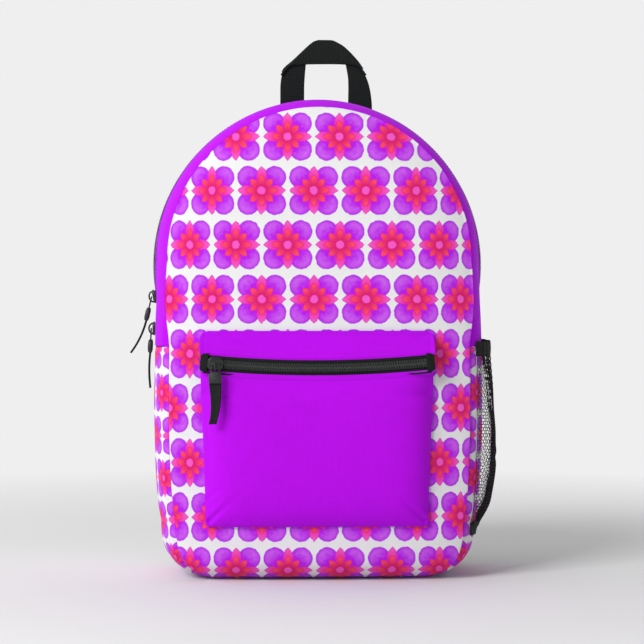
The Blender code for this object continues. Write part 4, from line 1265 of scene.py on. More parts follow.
# cloth tabs that close the zip's lower ends
for side, sg in (("left", -1), ("right", 1)):
    rows, uvs = [], []
    for s in np.linspace(sg * (S_FOOT - 0.0030), sg * (s_at(GUSSET_END_Z) + 0.0006), 10):
        row, uv = [], []
        for y in np.linspace(ZF + 0.0003, ZR - 0.0003, 12):
            g = gusset_point(s, y)
            q = 1 - abs(2 * (y - ZF) / (ZR - ZF) - 1) ** 4
            row.append((g.x + sg * (0.0004 + 0.0009 * q), y, g.z)), uv.append((y, s))
        rows.append(row), uvs.append(uv)
    o = shell(f"main_zip_tab_cloth_{side}", rows, uvs, 0.0012, [M_WEB_FINE], (sg, 0, 0))
    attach(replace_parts(o, f"main_zip_tab_{side}"), "bag")


# ============================================================== sliders and pulls
def slider_piece(name, frame, node, body, grow=1.0):
    """A coil-zip slider: shield-shaped top plate, wings that run beside the teeth, and a crown for the pull."""
    # in the slider's frame X is away from the bag, Y across the zip, Z along it
    swap = frame @ Matrix(((0, 0, 1, 0), (1, 0, 0, 0), (0, 1, 0, 0), (0, 0, 0, 1)))   # local x->Y, y->Z, z->X
    g = grow
    top = [(-0.0030, -0.0066), (0.0030, -0.0066), (0.0046, -0.0050), (0.0052, -0.0010), (0.0053, 0.0030), (0.0042, 0.0058), (0.0022, 0.0068),
           (-0.0022, 0.0068), (-0.0042, 0.0058), (-0.0053, 0.0030), (-0.0052, -0.0010), (-0.0046, -0.0050)]
    top = [(x * g, y * g) for x, y in top]
    plate_ = prism(name + "_plate", top, 0.0027, 0.0044, M_SLIDER, swap, 0.0006, 0.90)
    wings = []
    for q in (-1, 1):
        w = [(q * 0.0038 * g, -0.0055 * g), (q * 0.0052 * g, -0.0045 * g), (q * 0.0053 * g, 0.0045 * g), (q * 0.0038 * g, 0.0058 * g)]
        wings.append(prism(f"{name}_wing{q}", w, 0.0006, 0.0033, M_SLIDER, swap, 0.0004, 1.0))
    rail = prism(name + "_rail", [(-0.0019, -0.0060), (0.0019, -0.0060), (0.0019, 0.0056), (-0.0019, 0.0056)], 0.0042, 0.0049, M_SLIDER, swap, 0.0003, 0.9)
    crown = wire(name + "_crown", [frame @ Vector((0.0042 + 0.0040 * math.sin(a), 0.0, -0.0050 * math.cos(a))) for a in np.linspace(0.05, math.pi - 0.05, 11)], 0.00078, M_SLIDER)
    o = join(name + "_cast", plate_, *wings, rail, crown)
    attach(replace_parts(o, node), body)
    return o


def ribbon(name, fn, nu, nv, thick, mat, outward):
    P = np.array([[fn(u, v) for u in np.linspace(0, 1, nu + 1)] for v in np.linspace(0, 1, nv + 1)])
    d = np.concatenate([[0.0], np.cumsum(np.linalg.norm(np.diff(P[:, nu // 2], axis=0), axis=1))])
    w = np.linalg.norm(P[:, -1] - P[:, 0], axis=1)
    UV = np.array([[((u - 0.5) * w[j], d[j]) for u in np.linspace(0, 1, nu + 1)] for j in range(nv + 1)])
    return shell(name, P, UV, thick, [mat], outward)


def pull_pieces(prefix, frame, body, tilt, strip_bend, bow):
    turn = frame @ Matrix.Translation((0.0060, 0, 0)) @ Matrix.Rotation(tilt, 4, "Y")
    w, drop = 0.0036, 0.0098
    pts = [(0, -w * 0.8, -drop - 0.0012), (0, -w, -drop + 0.001), (0, -w * 1.02, -drop * 0.5), (0, -w, -0.0016), (0, -w + 0.0014, 0.0001), (0, 0, 0.0003),
           (0, w - 0.0014, 0.0001), (0, w, -0.0016), (0, w * 1.02, -drop * 0.5), (0, w, -drop + 0.001), (0, w * 0.8, -drop - 0.0012)]
    bail = wire(prefix + "_loop", [turn @ Vector(p) for p in pts], 0.00058, M_SLIDER, 8)
    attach(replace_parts(bail, prefix + "_bail"), body)
    # moulded end: a tapered lozenge, waisted, with a raised middle
    swap = turn @ Matrix(((0, 0, 1, 0), (1, 0, 0, 0), (0, 1, 0, 0), (0, 0, 0, 1)))
    z1, z0 = -drop - 0.0003, -drop - 0.0003 - 0.0125
    out = [(-0.0038, z1), (0.0038, z1), (0.0056, z1 - 0.0022), (0.0060, z1 - 0.0060), (0.0056, z0 + 0.0014), (0.0046, z0), (-0.0046, z0), (-0.0056, z0 + 0.0014), (-0.0060, z1 - 0.0060), (-0.0056, z1 - 0.0022)]
    b0 = prism(prefix + "_b0", out, -0.0019, 0.0019, M_MOULD, swap, 0.0008, 0.96)
    inner = [(x * 0.62, (z1 + z0) / 2 + (y - (z1 + z0) / 2) * 0.66) for x, y in out]
    b1 = prism(prefix + "_b1", inner, -0.0023, 0.0023, M_MOULD, swap, 0.0004, 0.95)
    block = join(prefix + "_mould", b0, b1)
    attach(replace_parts(block, prefix + "_block"), body)
    top = z0 + 0.0012

    def fn(u, v):
        d = v * 0.0342
        a = strip_bend * v
        x = bow * math.sin(v * math.pi) + 0.5 * strip_bend * v * d + 0.0008
        half = 0.0045 - 0.0006 * v
        curl = 0.0004 * (2 * u - 1) ** 2
        return turn @ Vector((x - curl, (2 * u - 1) * half, top - d * math.cos(0.5 * a)))
    tape = ribbon(prefix + "_ribbon", fn, 8, 30, 0.0015, M_WEB_FINE, turn.to_3x3() @ Vector((1, 0, 0)))
    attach(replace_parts(tape, prefix + "_strip"), body)


slider_piece("upper_slider", up_frame, "main_slider_upper", "slider_upper")
pull_pieces("upper_pull", up_frame, "pull_upper", math.radians(-24), 0.42, 0.0)
slider_piece("lower_slider", low_frame, "main_slider_lower", "slider_lower")
pull_pieces("lower_pull", low_frame, "pull_lower", math.radians(-3), -0.10, 0.0006)


# ============================================================== front pocket
PUR = [M_PURPLE, M_LINING]


def top_round(z, r=0.0075):
    q = (z - (POCKET_Z1 - r)) / r
    return r * (1 - math.sqrt(max(0.0, 1 - q * q))) if q > 0 else 0.0


def low_round(z, r=0.0035):
    q = ((POCKET_Z0 + r) - z) / r
    return r * (1 - math.sqrt(max(0.0, 1 - q * q))) if q > 0 else 0.0


def crease(x, z, x0, z0, x1, z1, width, depth):
    """A soft fold line from one point to another, deepest at its start."""
    dx, dz = x1 - x0, z1 - z0
    L = math.hypot(dx, dz)
    t = ((x - x0) * dx + (z - z0) * dz) / (L * L)
    off = abs((x - x0) * dz - (z - z0) * dx) / L
    if t < -0.05 or t > 1.0:
        return 0.0
    return depth * (1 - max(0.0, t)) ** 1.2 * (math.exp(-(off / width) ** 2) - 0.55 * math.exp(-((off - 2.1 * width) / (1.3 * width)) ** 2))


def pocket_soft(x, z):
    y = pocket_face(x, z)
    w = pocket_half(z)
    inside_ = smooth((w - abs(x - POCKET_CX)) / 0.012) * smooth((z - POCKET_Z0) / 0.012)
    y -= 0.0006 * float(ripple(x + 0.2, z, 0.6)) * inside_
    sx = math.copysign(1, x)
    # pleats that run in from the lower corners, and a fold across the upper band
    y += crease(abs(x - POCKET_CX), z, w - 0.004, POCKET_Z0 + 0.006, w - 0.040, POCKET_Z0 + 0.040, 0.0020, 0.0016)
    y += crease(abs(x - POCKET_CX), z, w - 0.001, POCKET_Z0 + 0.024, w - 0.028, POCKET_Z0 + 0.050, 0.0017, 0.0008)
    y += crease(abs(x - POCKET_CX), z, w - 0.020, POCKET_Z0 + 0.001, w - 0.046, POCKET_Z0 + 0.022, 0.0017, 0.0008)
    zz = pocket_zip_z(x)
    if z > zz + POCKET_ZIP_HALF:
        y += crease(x, z, -0.088, 0.2235, -0.035, 0.2060, 0.0022, 0.0007)
        y += crease(x, z, 0.095, 0.2220, 0.050, 0.2070, 0.0022, 0.0004)
    # the hem and the sewn-down margins by the zip
    g = abs(z - (POCKET_Z1 - 0.0034))
    y += 0.0005 * math.exp(-(g / 0.0007) ** 2)
    below_ = zz - POCKET_ZIP_HALF - z
    if below_ > 0:
        y += 0.0008 * math.exp(-((below_ - 0.0036) / 0.0009) ** 2) - 0.0004 * math.exp(-((below_ - 0.0014) / 0.0012) ** 2)
    above_ = z - (zz + POCKET_ZIP_HALF)
    if above_ > 0:
        y += 0.0006 * math.exp(-((above_ - 0.0042) / 0.0009) ** 2) - 0.0004 * math.exp(-((above_ - 0.0016) / 0.0012) ** 2)
    # a seam line near each side, and the edge stitching by it
    side = w - abs(x - POCKET_CX)
    y += 0.0005 * math.exp(-((side - 0.0042) / 0.0008) ** 2)
    return y


def pocket_grid(z_lo, z_hi, nz, round_top=False, round_low=False, turn_low=None, turn_high=None):
    us = np.concatenate([-1 + 0.14 * (np.linspace(0, 1, 14) ** 1.3), np.linspace(-0.86, 0.86, 66)[1:-1], 1 - 0.14 * (np.linspace(1, 0, 14) ** 1.3)])
    rows, uvs = [], []
    vs = np.linspace(0, 1, nz + 1)
    vs = 0.5 - 0.5 * np.cos(math.pi * vs) * 0.6 - 0.5 * (1 - 2 * vs) * 0.4
    if turn_low:
        rows_low = turn_low
    for k, v in enumerate(vs):
        row, uv = [], []
        for u in us:
            wide = POCKET_CX + u * pocket_half(POCKET_ZIP_Z)
            z = z_lo(wide) + (z_hi(wide) - z_lo(wide)) * v
            h = pocket_half(z) - (top_round(z) if round_top else 0) - (low_round(z) if round_low else 0)
            x = POCKET_CX + u * h
            row.append((x, pocket_soft(x, z), z)), uv.append((x, z))
        for e, at in ((-1, 0), (1, len(row))):             # sides turned down onto the panel
            x, y, z = row[0] if e < 0 else row[-1]
            seat = front_face(x, z) + 0.0004
            extra = [(x - e * 0.0002, (y + seat) / 2, z), (x - e * 0.0010, seat, z)]
            if e < 0:
                row[0:0] = extra[::-1]
                uv[0:0] = [(x - 0.003, z), (x - 0.0015, z)]
            else:
                row += extra
                uv += [(x + 0.0015, z), (x + 0.003, z)]
        rows.append(row), uvs.append(uv)
    for flag, first in ((turn_low, True), (turn_high, False)):
        if flag:
            src, suv = (rows[0], uvs[0]) if first else (rows[-1], uvs[-1])
            new = []
            for dz, dy in flag:
                new.append(([(x, y + dy if dy is not None else front_face(x, z) + 0.0004, z + dz) for x, y, z in src], [(a, b + dz - (dy or 0.003) * (1 if first else -1)) for a, b in suv]))
            for r, q in new:
                if first:
                    rows.insert(0, r), uvs.insert(0, q)
                else:
                    rows.append(r), uvs.append(q)
    return np.array(rows), np.array(uvs)


zb = lambda x: pocket_zip_z(x) - POCKET_ZIP_HALF + 0.0012
za = lambda x: pocket_zip_z(x) + POCKET_ZIP_HALF - 0.0008
P, UV = pocket_grid(lambda x: POCKET_Z0, zb, 74, round_low=True, turn_low=[(0.0001, 0.0012), (0.0004, None)], turn_high=[(0.0003, 0.0006), (-0.0004, 0.0014)])
o = shell("pocket_cloth", P, UV, 0.0012, PUR, (0, -1, 0))
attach(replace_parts(o, "pocket_panel"), "bag")
P, UV = pocket_grid(za, lambda x: POCKET_Z1, 22, round_top=True, turn_low=[(-0.0003, 0.0006), (0.0004, 0.0014)], turn_high=[(0.0001, 0.0008), (-0.0003, None)])
o = shell("pocket_band_cloth", P, UV, 0.0012, PUR, (0, -1, 0))
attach(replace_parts(o, "pocket_top_band"), "bag")

# stitch rows: over the zip, under it, down the sides and along the hem
items = []
xs = POCKET_CX + np.linspace(-0.0975, 0.0975, 160)
for dz in (POCKET_ZIP_HALF + 0.0042, -(POCKET_ZIP_HALF + 0.0036)):
    L = [(x, pocket_soft(x, pocket_zip_z(x) + dz), pocket_zip_z(x) + dz) for x in xs]
    items += stitch_items(L, [(0, -1, 0)] * len(L), 0.0022, 0.0009, 0.00024)
L = [(x, pocket_soft(x, POCKET_Z1 - 0.0034), POCKET_Z1 - 0.0034) for x in POCKET_CX + np.linspace(-0.0995, 0.0995, 160)]
items += stitch_items(L, [(0, -1, 0)] * len(L), 0.0022, 0.0009, 0.00024)
for sg in (-1, 1):
    L = []
    for z in np.linspace(POCKET_Z0 + 0.004, 0.1815, 110):
        x = POCKET_CX + sg * (pocket_half(z) - 0.0042)
        L.append((x, pocket_soft(x, z), z))
    items += stitch_items(L, [(0, -1, 0)] * len(L), 0.0022, 0.0009, 0.00024)
o = capsules("pocket_stitches", items, M_THREAD, sag=0.5)
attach(o, "bag")

# the pocket zip: tape, coil, and the tape's bound ends
def pzip(a, d, h):
    r = POCKET_ZIP_R - d
    return (POCKET_CX + r * math.sin(a), POCKET_ZIP_Y - h, POCKET_ZIP_Z + POCKET_ZIP_R - r * math.cos(a))


AM = math.asin(POCKET_ZIP_X / POCKET_ZIP_R)
for name, sg in (("upper", 1), ("lower", -1)):
    prof = [(0.00004, 0.0002), (0.0018, 0.0003), (0.0038, 0.0001), (0.0047, -0.0004), (0.0066, -0.0005), (POCKET_ZIP_HALF + 0.0014, -0.0007)]
    line = np.linspace(-AM * 1.005, AM * 1.005, 120)
    P = np.array([[pzip(a, sg * d, h) for d, h in prof] for a in line])
    UV = np.array([[(d, a * POCKET_ZIP_R) for d, h in prof] for a in line])
    tape = shell(f"pocket_zip_tape_{name}", P, UV, 0.0007, [M_TAPE], (0, -1, 0))
    n_teeth = int(2 * POCKET_ZIP_X / 0.00150)
    items, thread = [], []
    for k in range(n_teeth):
        a = -AM + (k + (0.5 if sg > 0 else 0.0)) * 0.00150 / POCKET_ZIP_R
        p0, p1 = np.array(pzip(a, sg * -0.0009, 0.0012)), np.array(pzip(a, sg * 0.0038, 0.0010))
        t = np.array([math.cos(a), 0, math.sin(a)])
        # each turn of the coil leans a little, as a spiral's turns do
        lean = t * 0.00034 * sg
        items.append(((p0 + p1) / 2, (p1 - p0) / 2 + lean, t * 0.00043, np.array([0, -1, 0]) * 0.00105))
    teeth = capsules(f"pocket_zip_coil_{name}", items, M_COIL, sides=6)
    for d in (0.0014, 0.0026):
        L = [pzip(a, sg * d, 0.0021) for a in line]
        thread += stitch_items(L, [(0, -1, 0)] * len(L), 0.0012, 0.0003, 0.00017, 0.0)
    th = capsules(f"pocket_zip_thread_{name}", thread, M_THREAD_K, sides=4, rings=((-1, 0.5), (0, 1), (1, 0.5)), sag=0.8)
    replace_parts(tape, f"pocket_zip_{name}")
    for o in (tape, teeth, th):
        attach(o, "bag")
for side, sg in (("left", -1), ("right", 1)):
    def end_fn(u, v):
        a = sg * (AM + (-0.0032 + 0.0072 * v) / POCKET_ZIP_R)
        d = (2 * u - 1) * (POCKET_ZIP_HALF + 0.0006) * (1 - 0.30 * v ** 3)
        x, y, z = pzip(a, d, 0.0004 + 0.0022 * (1 - (2 * u - 1) ** 4) * math.cos(v * 1.45))
        return Vector((x, y, z))
    o = ribbon(f"pocket_zip_end_cloth_{side}", end_fn, 12, 8, 0.0012, M_TAPE, (0, -1, 0))
    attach(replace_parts(o, f"pocket_zip_end_{side}"), "bag")

slider_piece("pocket_slider_cast", p_frame, "pocket_slider", "slider_pocket", grow=1.10)
eye = wire("pocket_pull_ring", [pull_at + Vector((0.0003 * math.sin(2 * a), 0.0026 * math.sin(a), -0.0023 + 0.0039 * math.cos(a))) for a in np.linspace(0, 2 * math.pi, 17)[:-1]], 0.00062, M_SLIDER, 8, cyclic=True)
# two posts that hold the ring to the moulded end
posts = [wire(f"pocket_post{q}", [pull_at + Vector((q * 0.0030, 0.0004, 0.0010)), pull_at + Vector((q * 0.0033, 0.0006, -0.0030)), pull_at + Vector((q * 0.0036, 0.0004, -0.0080))], 0.00065, M_SLIDER, 8) for q in (-1, 1)]
bar_ = wire("pocket_bar", [pull_at + Vector((-0.0030, 0.0002, 0.0010)), pull_at + Vector((0.0, 0.0000, 0.0014)), pull_at + Vector((0.0030, 0.0002, 0.0010))], 0.00065, M_SLIDER, 8)
o = join("pocket_pull_link", eye, bar_, *posts)
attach(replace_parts(o, "pocket_pull_eye"), "pull_pocket")
flat = Matrix.Translation(pull_at + Vector((0, 0, -0.0123))) @ Matrix(((1, 0, 0, 0), (0, 0, -1, 0), (0, 1, 0, 0), (0, 0, 0, 1)))
out = [(-0.0040, 0.0053), (0.0040, 0.0053), (0.0058, 0.0036), (0.0060, 0.0), (0.0059, -0.0040), (0.0052, -0.0053), (-0.0052, -0.0053), (-0.0059, -0.0040), (-0.0060, 0.0), (-0.0058, 0.0036)]
b0 = prism("pb0", out, -0.0019, 0.0019, M_MOULD, flat, 0.0007, 0.95)
b1 = prism("pb1", [(x * 0.66, y * 0.60) for x, y in out], -0.0023, 0.0023, M_MOULD, flat, 0.0004, 0.93)
o = join("pocket_pull_mould", b0, b1)
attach(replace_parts(o, "pocket_pull_block"), "pull_pocket")


def pstrip(u, v):
    d = 0.0370 * v
    bend = -0.0046 * v * v * v + 0.0022 * v
    half = 0.0054 - 0.0026 * v + (0.0003 if v > 0.92 else 0)
    y = 0.0006 - 0.0030 * math.sin(math.pi * v) - 0.0005 * (2 * u - 1) ** 2
    return pull_at + Vector((bend + (2 * u - 1) * half, y, -0.0168 - d))


o = ribbon("pocket_pull_ribbon", pstrip, 8, 34, 0.0015, M_WEB_FINE, (0, -1, 0))
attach(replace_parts(o, "pocket_pull_strip"), "pull_pocket")

# ============================================================== mesh side pocket
NET_Y0 = -0.0508         # the net is sewn in right beside the front seam


def net_point(q, y, z):
    """The net's face: it stands off steeply at both seams and is drawn in under its elastic."""
    p = gusset_point(s_at(z), y)
    across = 1 - abs(2 * q - 1) ** 4.5
    up = through((MESH_Z0, 0.052, 0.070, 0.100, 0.130, 0.165, 0.190, MESH_Z1, BAND_Z1),
                 (0.0, 0.0045, 0.0098, 0.0122, 0.0118, 0.0088, 0.0068, 0.0060, 0.0062), z)
    return Vector((p.x + 0.0018 + (up - 0.0005) * across, y, z))


def mesh_soft(q, z):
    """q runs 0..1 from the front seam to the rear one. The net is gathered into its elastic and folds below it."""
    y = NET_Y0 + (MESH_Y1 - NET_Y0) * q
    p = net_point(q, y, z)
    mid = (1 - abs(2 * q - 1) ** 3.0)
    near = smooth((z - 0.135) / 0.065)
    fold = (0.0012 * math.sin(2 * math.pi * 7.5 * q + 0.5) + 0.0006 * math.sin(2 * math.pi * 13 * q)) * near
    slack = 0.0010 * float(ripple(y * 1.5, z * 1.5, 1.2)) * (1 - near)
    g = (z - (0.1120 - 0.012 * q)) / 0.0028              # a fold where the net sags on itself, by the front seam
    dent = -0.0022 * math.exp(-g * g) * math.exp(-(q / 0.35) ** 2) + 0.0010 * math.exp(-((g - 2.2) / 1.4) ** 2) * math.exp(-(q / 0.35) ** 2)
    return np.array((p.x + (fold + slack + dent) * mid, y, z))


cell = 0.00330
nq, nz = int(0.1120 / cell), int((MESH_Z1 - MESH_Z0 + 0.003) / (cell * 0.866))
V, F, ids = [], [], {}


def node_at(a, b):
    """Corner of a hexagonal net in its flat lattice."""
    key = (round(a, 4), round(b, 4))
    if key not in ids:
        q, r = min(1.0, max(0.0, a / (nq))), min(1.0, max(0.0, b / nz))
        ids[key] = len(V)
        V.append(mesh_soft(q, MESH_Z0 + (MESH_Z1 + 0.0015 - MESH_Z0) * r))
    return ids[key]


for j in range(nz + 1):
    for i in range(nq + 1):
        cx, cy = i + (0.5 if j % 2 else 0.0), j
        hexa = [node_at(cx + 0.5 * dx, cy + dy) for dx, dy in ((-1, -1 / 3), (0, -2 / 3), (1, -1 / 3), (1, 1 / 3), (0, 2 / 3), (-1, 1 / 3))]
        seen = []
        for h in hexa:
            if h not in seen:
                seen.append(h)
        if len(seen) >= 3:
            F.append(seen)
net = mesh_from("mesh_pocket_net", V, F, M_NET, np.array(V)[:, [1, 2]], weld=3e-5)
bm = bmesh.new()
bm.from_mesh(net.data)
bmesh.ops.dissolve_degenerate(bm, dist=1e-5, edges=bm.edges)
bmesh.ops.recalc_face_normals(bm, faces=bm.faces)
bm.to_mesh(net.data)
bm.free()
w = net.modifiers.new("threads", "WIREFRAME")
w.thickness, w.use_replace, w.use_boundary, w.use_even_offset = 0.00062, True, True, False
bake(net)
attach(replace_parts(net, "mesh_pocket"), "bag")

# elastic band, gathered
def band_fn(u, v):
    q = u
    z = MESH_Z1 - 0.0008 + (BAND_Z1 - MESH_Z1 + 0.0008) * v
    y = NET_Y0 + (MESH_Y1 - NET_Y0) * q
    p = net_point(q, y, z)
    mid = (1 - abs(2 * q - 1) ** 3.0)
    return Vector((p.x + (0.0007 * math.sin(2 * math.pi * 15 * q) + 0.0003 * math.sin(2 * math.pi * 31 * q) + 0.0004) * mid + 0.0005 * math.sin(math.pi * v), y, z))


o = ribbon("mesh_band_elastic", band_fn, 130, 8, 0.0014, M_ELASTIC, (1, 0, 0))
me = o.data
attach(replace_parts(o, "mesh_pocket_band"), "bag")
L, items = [], []
for dz in (0.0030, 0.0100):
    L = [band_fn(q, (dz / (BAND_Z1 - MESH_Z1))) + Vector((0.0001, 0, 0)) for q in np.linspace(0.03, 0.97, 130)]
    items += stitch_items(L, [(1, 0, 0)] * len(L), 0.0018, 0.0009, 0.00022)
# binding tape round the net's foot and rear edge
path, ups = [], []
for q in np.linspace(0.030, 0.988, 50):
    path.append(mesh_soft(q, MESH_Z0 + 0.003 + 0.005 * (abs(2 * q - 1) ** 6)) + np.array((0.0004, 0, 0))), ups.append((0.9, 0, -0.4))
for z in np.linspace(MESH_Z0 + 0.008, MESH_Z1 + 0.012, 60)[1:]:
    path.append(mesh_soft(0.988, z) + np.array((0.0004, 0, 0))), ups.append((0.75, 0.65, 0))
bind = sweep("mesh_binding", resample(path, 0.003), np.array([ups[min(len(ups) - 1, int(k * len(ups) / (len(resample(path, 0.003)))))] for k in range(len(resample(path, 0.003)))]), 0.0021, 0.0012, M_WEB_FINE)
st = capsules("mesh_stitches", items, M_THREAD_K, sag=0.4)
o = join("mesh_pocket_binding", bind, st)
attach(o, "bag")
# corner patch where the net is sewn into the base seam
rows, uvs = [], []
for z in np.linspace(0.0395, 0.0505, 8):
    row, uv = [], []
    for q in np.linspace(0.0, 0.13, 8):
        y = NET_Y0 + (MESH_Y1 - NET_Y0) * q
        g = gusset_point(s_at(z), y)
        row.append((g.x + 0.0026 + 0.004 * smooth((z - 0.040) / 0.012) * smooth(q / 0.1) * 0.5, y, z)), uv.append((y, z))
    rows.append(row), uvs.append(uv)
o = shell("mesh_corner_patch", rows, uvs, 0.0014, [M_WEB_FINE], (1, 0, 0))
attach(o, "bag")

# ============================================================== grab handle
LI, LO = LEG_IN, LEG_OUT
LEG_W = (LO - LI) / 2
handle_parts = []
for sg in (-1, 1):
    rows, uvs = [], []
    top = 0.4790
    for z in np.linspace(0.4090, top, 50):
        if sg < 0:            # each leg's outer edge is folded in where the bar turns
            far = through((0.40, 0.4560, 0.4640, 0.4686, 0.4740, 0.4787), (0.0437, 0.0436, 0.0430, 0.0419, 0.0388, 0.0325), z)
            near_ = through((0.40, 0.4560, 0.4680, 0.4790), (0.0207, 0.0206, 0.0200, 0.0190), z)
        else:
            far = through((0.40, 0.4398, 0.4506, 0.4600, 0.4686, 0.4755, 0.4790), (0.0452, 0.0445, 0.0434, 0.0414, 0.0380, 0.0330, 0.0290), z)
            near_ = through((0.40, 0.4425, 0.4560, 0.4640, 0.4790), (0.0218, 0.0215, 0.0217, 0.0215, 0.0192), z)
        y = HY - 0.0010 + 0.0006 * math.sin((z - 0.41) * 60) + 0.0010 * smooth((z - 0.4680) / 0.01)
        xs_ = HX + sg * np.linspace(near_, far, 13)
        rows.append([(x, y + 0.00035 * abs(2 * q - 1) ** 5, z) for x, q in zip(xs_, np.linspace(0, 1, 13))])
        uvs.append([(x, z) for x in xs_])
    handle_parts.append(shell(f"leg{sg}", rows, uvs, 0.0020, [M_WEB], (0, -1, 0)))
# the bar: the same webbing, folded over at each corner so that it lies in front of the legs
lower = [(HX + a, b) for a, b in ((-0.0418, 0.4676), (-0.0388, 0.4722), (-0.0320, 0.4776), (-0.0200, 0.4789), (-0.0060, 0.4792), (0.0045, 0.4793), (0.0200, 0.4790), (0.0300, 0.4768), (0.0378, 0.4680))]
upper_ = [(HX + a, b) for a, b in ((-0.0425, 0.4682), (-0.0396, 0.4738), (-0.0300, 0.4828), (-0.0113, 0.5010), (-0.0060, 0.5023), (0.0045, 0.5022), (0.0139, 0.4985), (0.0320, 0.4795), (0.0383, 0.4688))]
lo_a, up_a = np.array(lower), np.array(upper_)
t9 = np.linspace(0, 1, 9)
rows, uvs = [], []
for t in np.linspace(0, 1, 90):
    a = np.array([through(t9, lo_a[:, k], t) for k in (0, 1)])
    b = np.array([through(t9, up_a[:, k], t) for k in (0, 1)])
    row, uv = [], []
    for v in np.linspace(0, 1, 15):
        p = a + (b - a) * v
        end = min(t, 1 - t)
        fold = 0.0013 * math.sin(math.pi * min(1.0, max(0.0, end / 0.30))) * (1 - abs(2 * v - 1) ** 3)
        edge_ = 0.0008 * (abs(2 * v - 1) ** 6)
        row.append((p[0], HY - 0.0022 - fold * 0.5 + edge_ * 0.6 - 0.0006, p[1])), uv.append((p[1] - BAR0, p[0]))
    rows.append(row), uvs.append(uv)
bar = shell("bar", rows, uvs, 0.0020, [M_WEB], (0, -1, 0))
# the folded-under layer behind the bar
rows2 = [[(x, y + 0.0044 + 0.0002, HY * 0 + z) for x, y, z in [tuple(q) for q in r]] for r in rows[6:-6]]
back_bar = shell("bar_back", [[(x + 0.0, y, BAR0 + 0.0003 + (z - BAR0) * 0.97) for x, y, z in r] for r in rows2], uvs[6:-6], 0.0014, [M_WEB], (0, 1, 0))
items = []
for sg in (-1, 1):          # box stitches that hold the legs to the back's top seam
    mid = HX + sg * (LI + LO) / 2
    x0, x1, z0, z1 = mid - LEG_W + 0.0025, mid + LEG_W - 0.0025, 0.4120, 0.4300
    for a, b in (((x0, z0), (x1, z0)), ((x1, z0), (x1, z1)), ((x1, z1), (x0, z1)), ((x0, z1), (x0, z0)), ((x0, z0), (x1, z1)), ((x0, z1), (x1, z0))):
        for yy, ny in ((HY + 0.00105, 1), (HY - 0.00105, -1)):
            L = [(a[0] + (b[0] - a[0]) * k / 9, yy + 0.0006 * math.sin((a[1] + (b[1] - a[1]) * k / 9 - 0.41) * 60), a[1] + (b[1] - a[1]) * k / 9) for k in range(10)]
            items += stitch_items(L, [(0, ny, 0)] * 10, 0.0019, 0.0007, 0.00024)
sti = capsules("handle_st", items, M_THREAD_K, sag=0.4)
o = join("grab_handle_webbing", *handle_parts, bar, back_bar, sti)
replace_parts(o, "grab_handle", "handle_foot_left", "handle_foot_right")
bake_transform(o)


# ============================================================== the back
def back_soft(x, z):
    """Face of the padded back panel: a slight swell away from its seam. Its two long pads and lumbar pad, with their
    sewn channels, are built below.
    """
    y = back_face(x, z)
    return y


P, UV = panel_grid(0.0086, back_soft, np.linspace(0, 1, 30), ((-0.0002, -0.0012), (-0.0006, -0.0026)), samples=np.concatenate([np.linspace(ARCH_Z, 0.010, 70), [0.007, 0.0045, 0.0036]]), arch=90)
o = shell("back_cloth", P, UV, 0.0014, [M_BLACK, M_LINING], (0, 1, 0), rims=(1, 1, 0, 1), weld=1e-6, offset=(0, -1, 0))
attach(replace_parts(o, "back_panel"), "bag")


def pad_form(name, loop, y0, depth, mat, cap, slot_name, body="bag", hold_back=True):
    """A pad from its outline: a closed slab, then filled by the cloth solver. loop is (x, z) points, counter-clockwise."""
    n = len(loop)
    v = [(x, y0, z) for x, z in loop] + [(x, y0 + depth, z) for x, z in loop]
    f = [list(range(n)), list(range(n, 2 * n))[::-1]] + [[i, n + i, n + (i + 1) % n, (i + 1) % n] for i in range(n)]
    o = mesh_from(name, v, f, mat)
    fix_normals(o)
    stuff(o, cap, hold=(lambda co: (co[:, 1] < y0 + depth * 0.35) * 1.0) if hold_back else None)
    co = np.empty(len(o.data.vertices) * 3)
    o.data.vertices.foreach_get("co", co)
    co = co.reshape(-1, 3)
    return o


def rounded_loop(pts, r, n=7):
    """A closed outline with its corners rounded."""
    out = []
    m = len(pts)
    for i in range(m):
        p0, p1, p2 = np.array(pts[i - 1], float), np.array(pts[i], float), np.array(pts[(i + 1) % m], float)
        a, b = (p0 - p1) / np.linalg.norm(p0 - p1), (p2 - p1) / np.linalg.norm(p2 - p1)
        q = min(r, np.linalg.norm(p0 - p1) * 0.45, np.linalg.norm(p2 - p1) * 0.45)
        for t in np.linspace(0, 1, n):
            out.append(tuple((1 - t) ** 2 * (p1 + a * q) + 2 * t * (1 - t) * p1 + t * t * (p1 + b * q)))
    return out


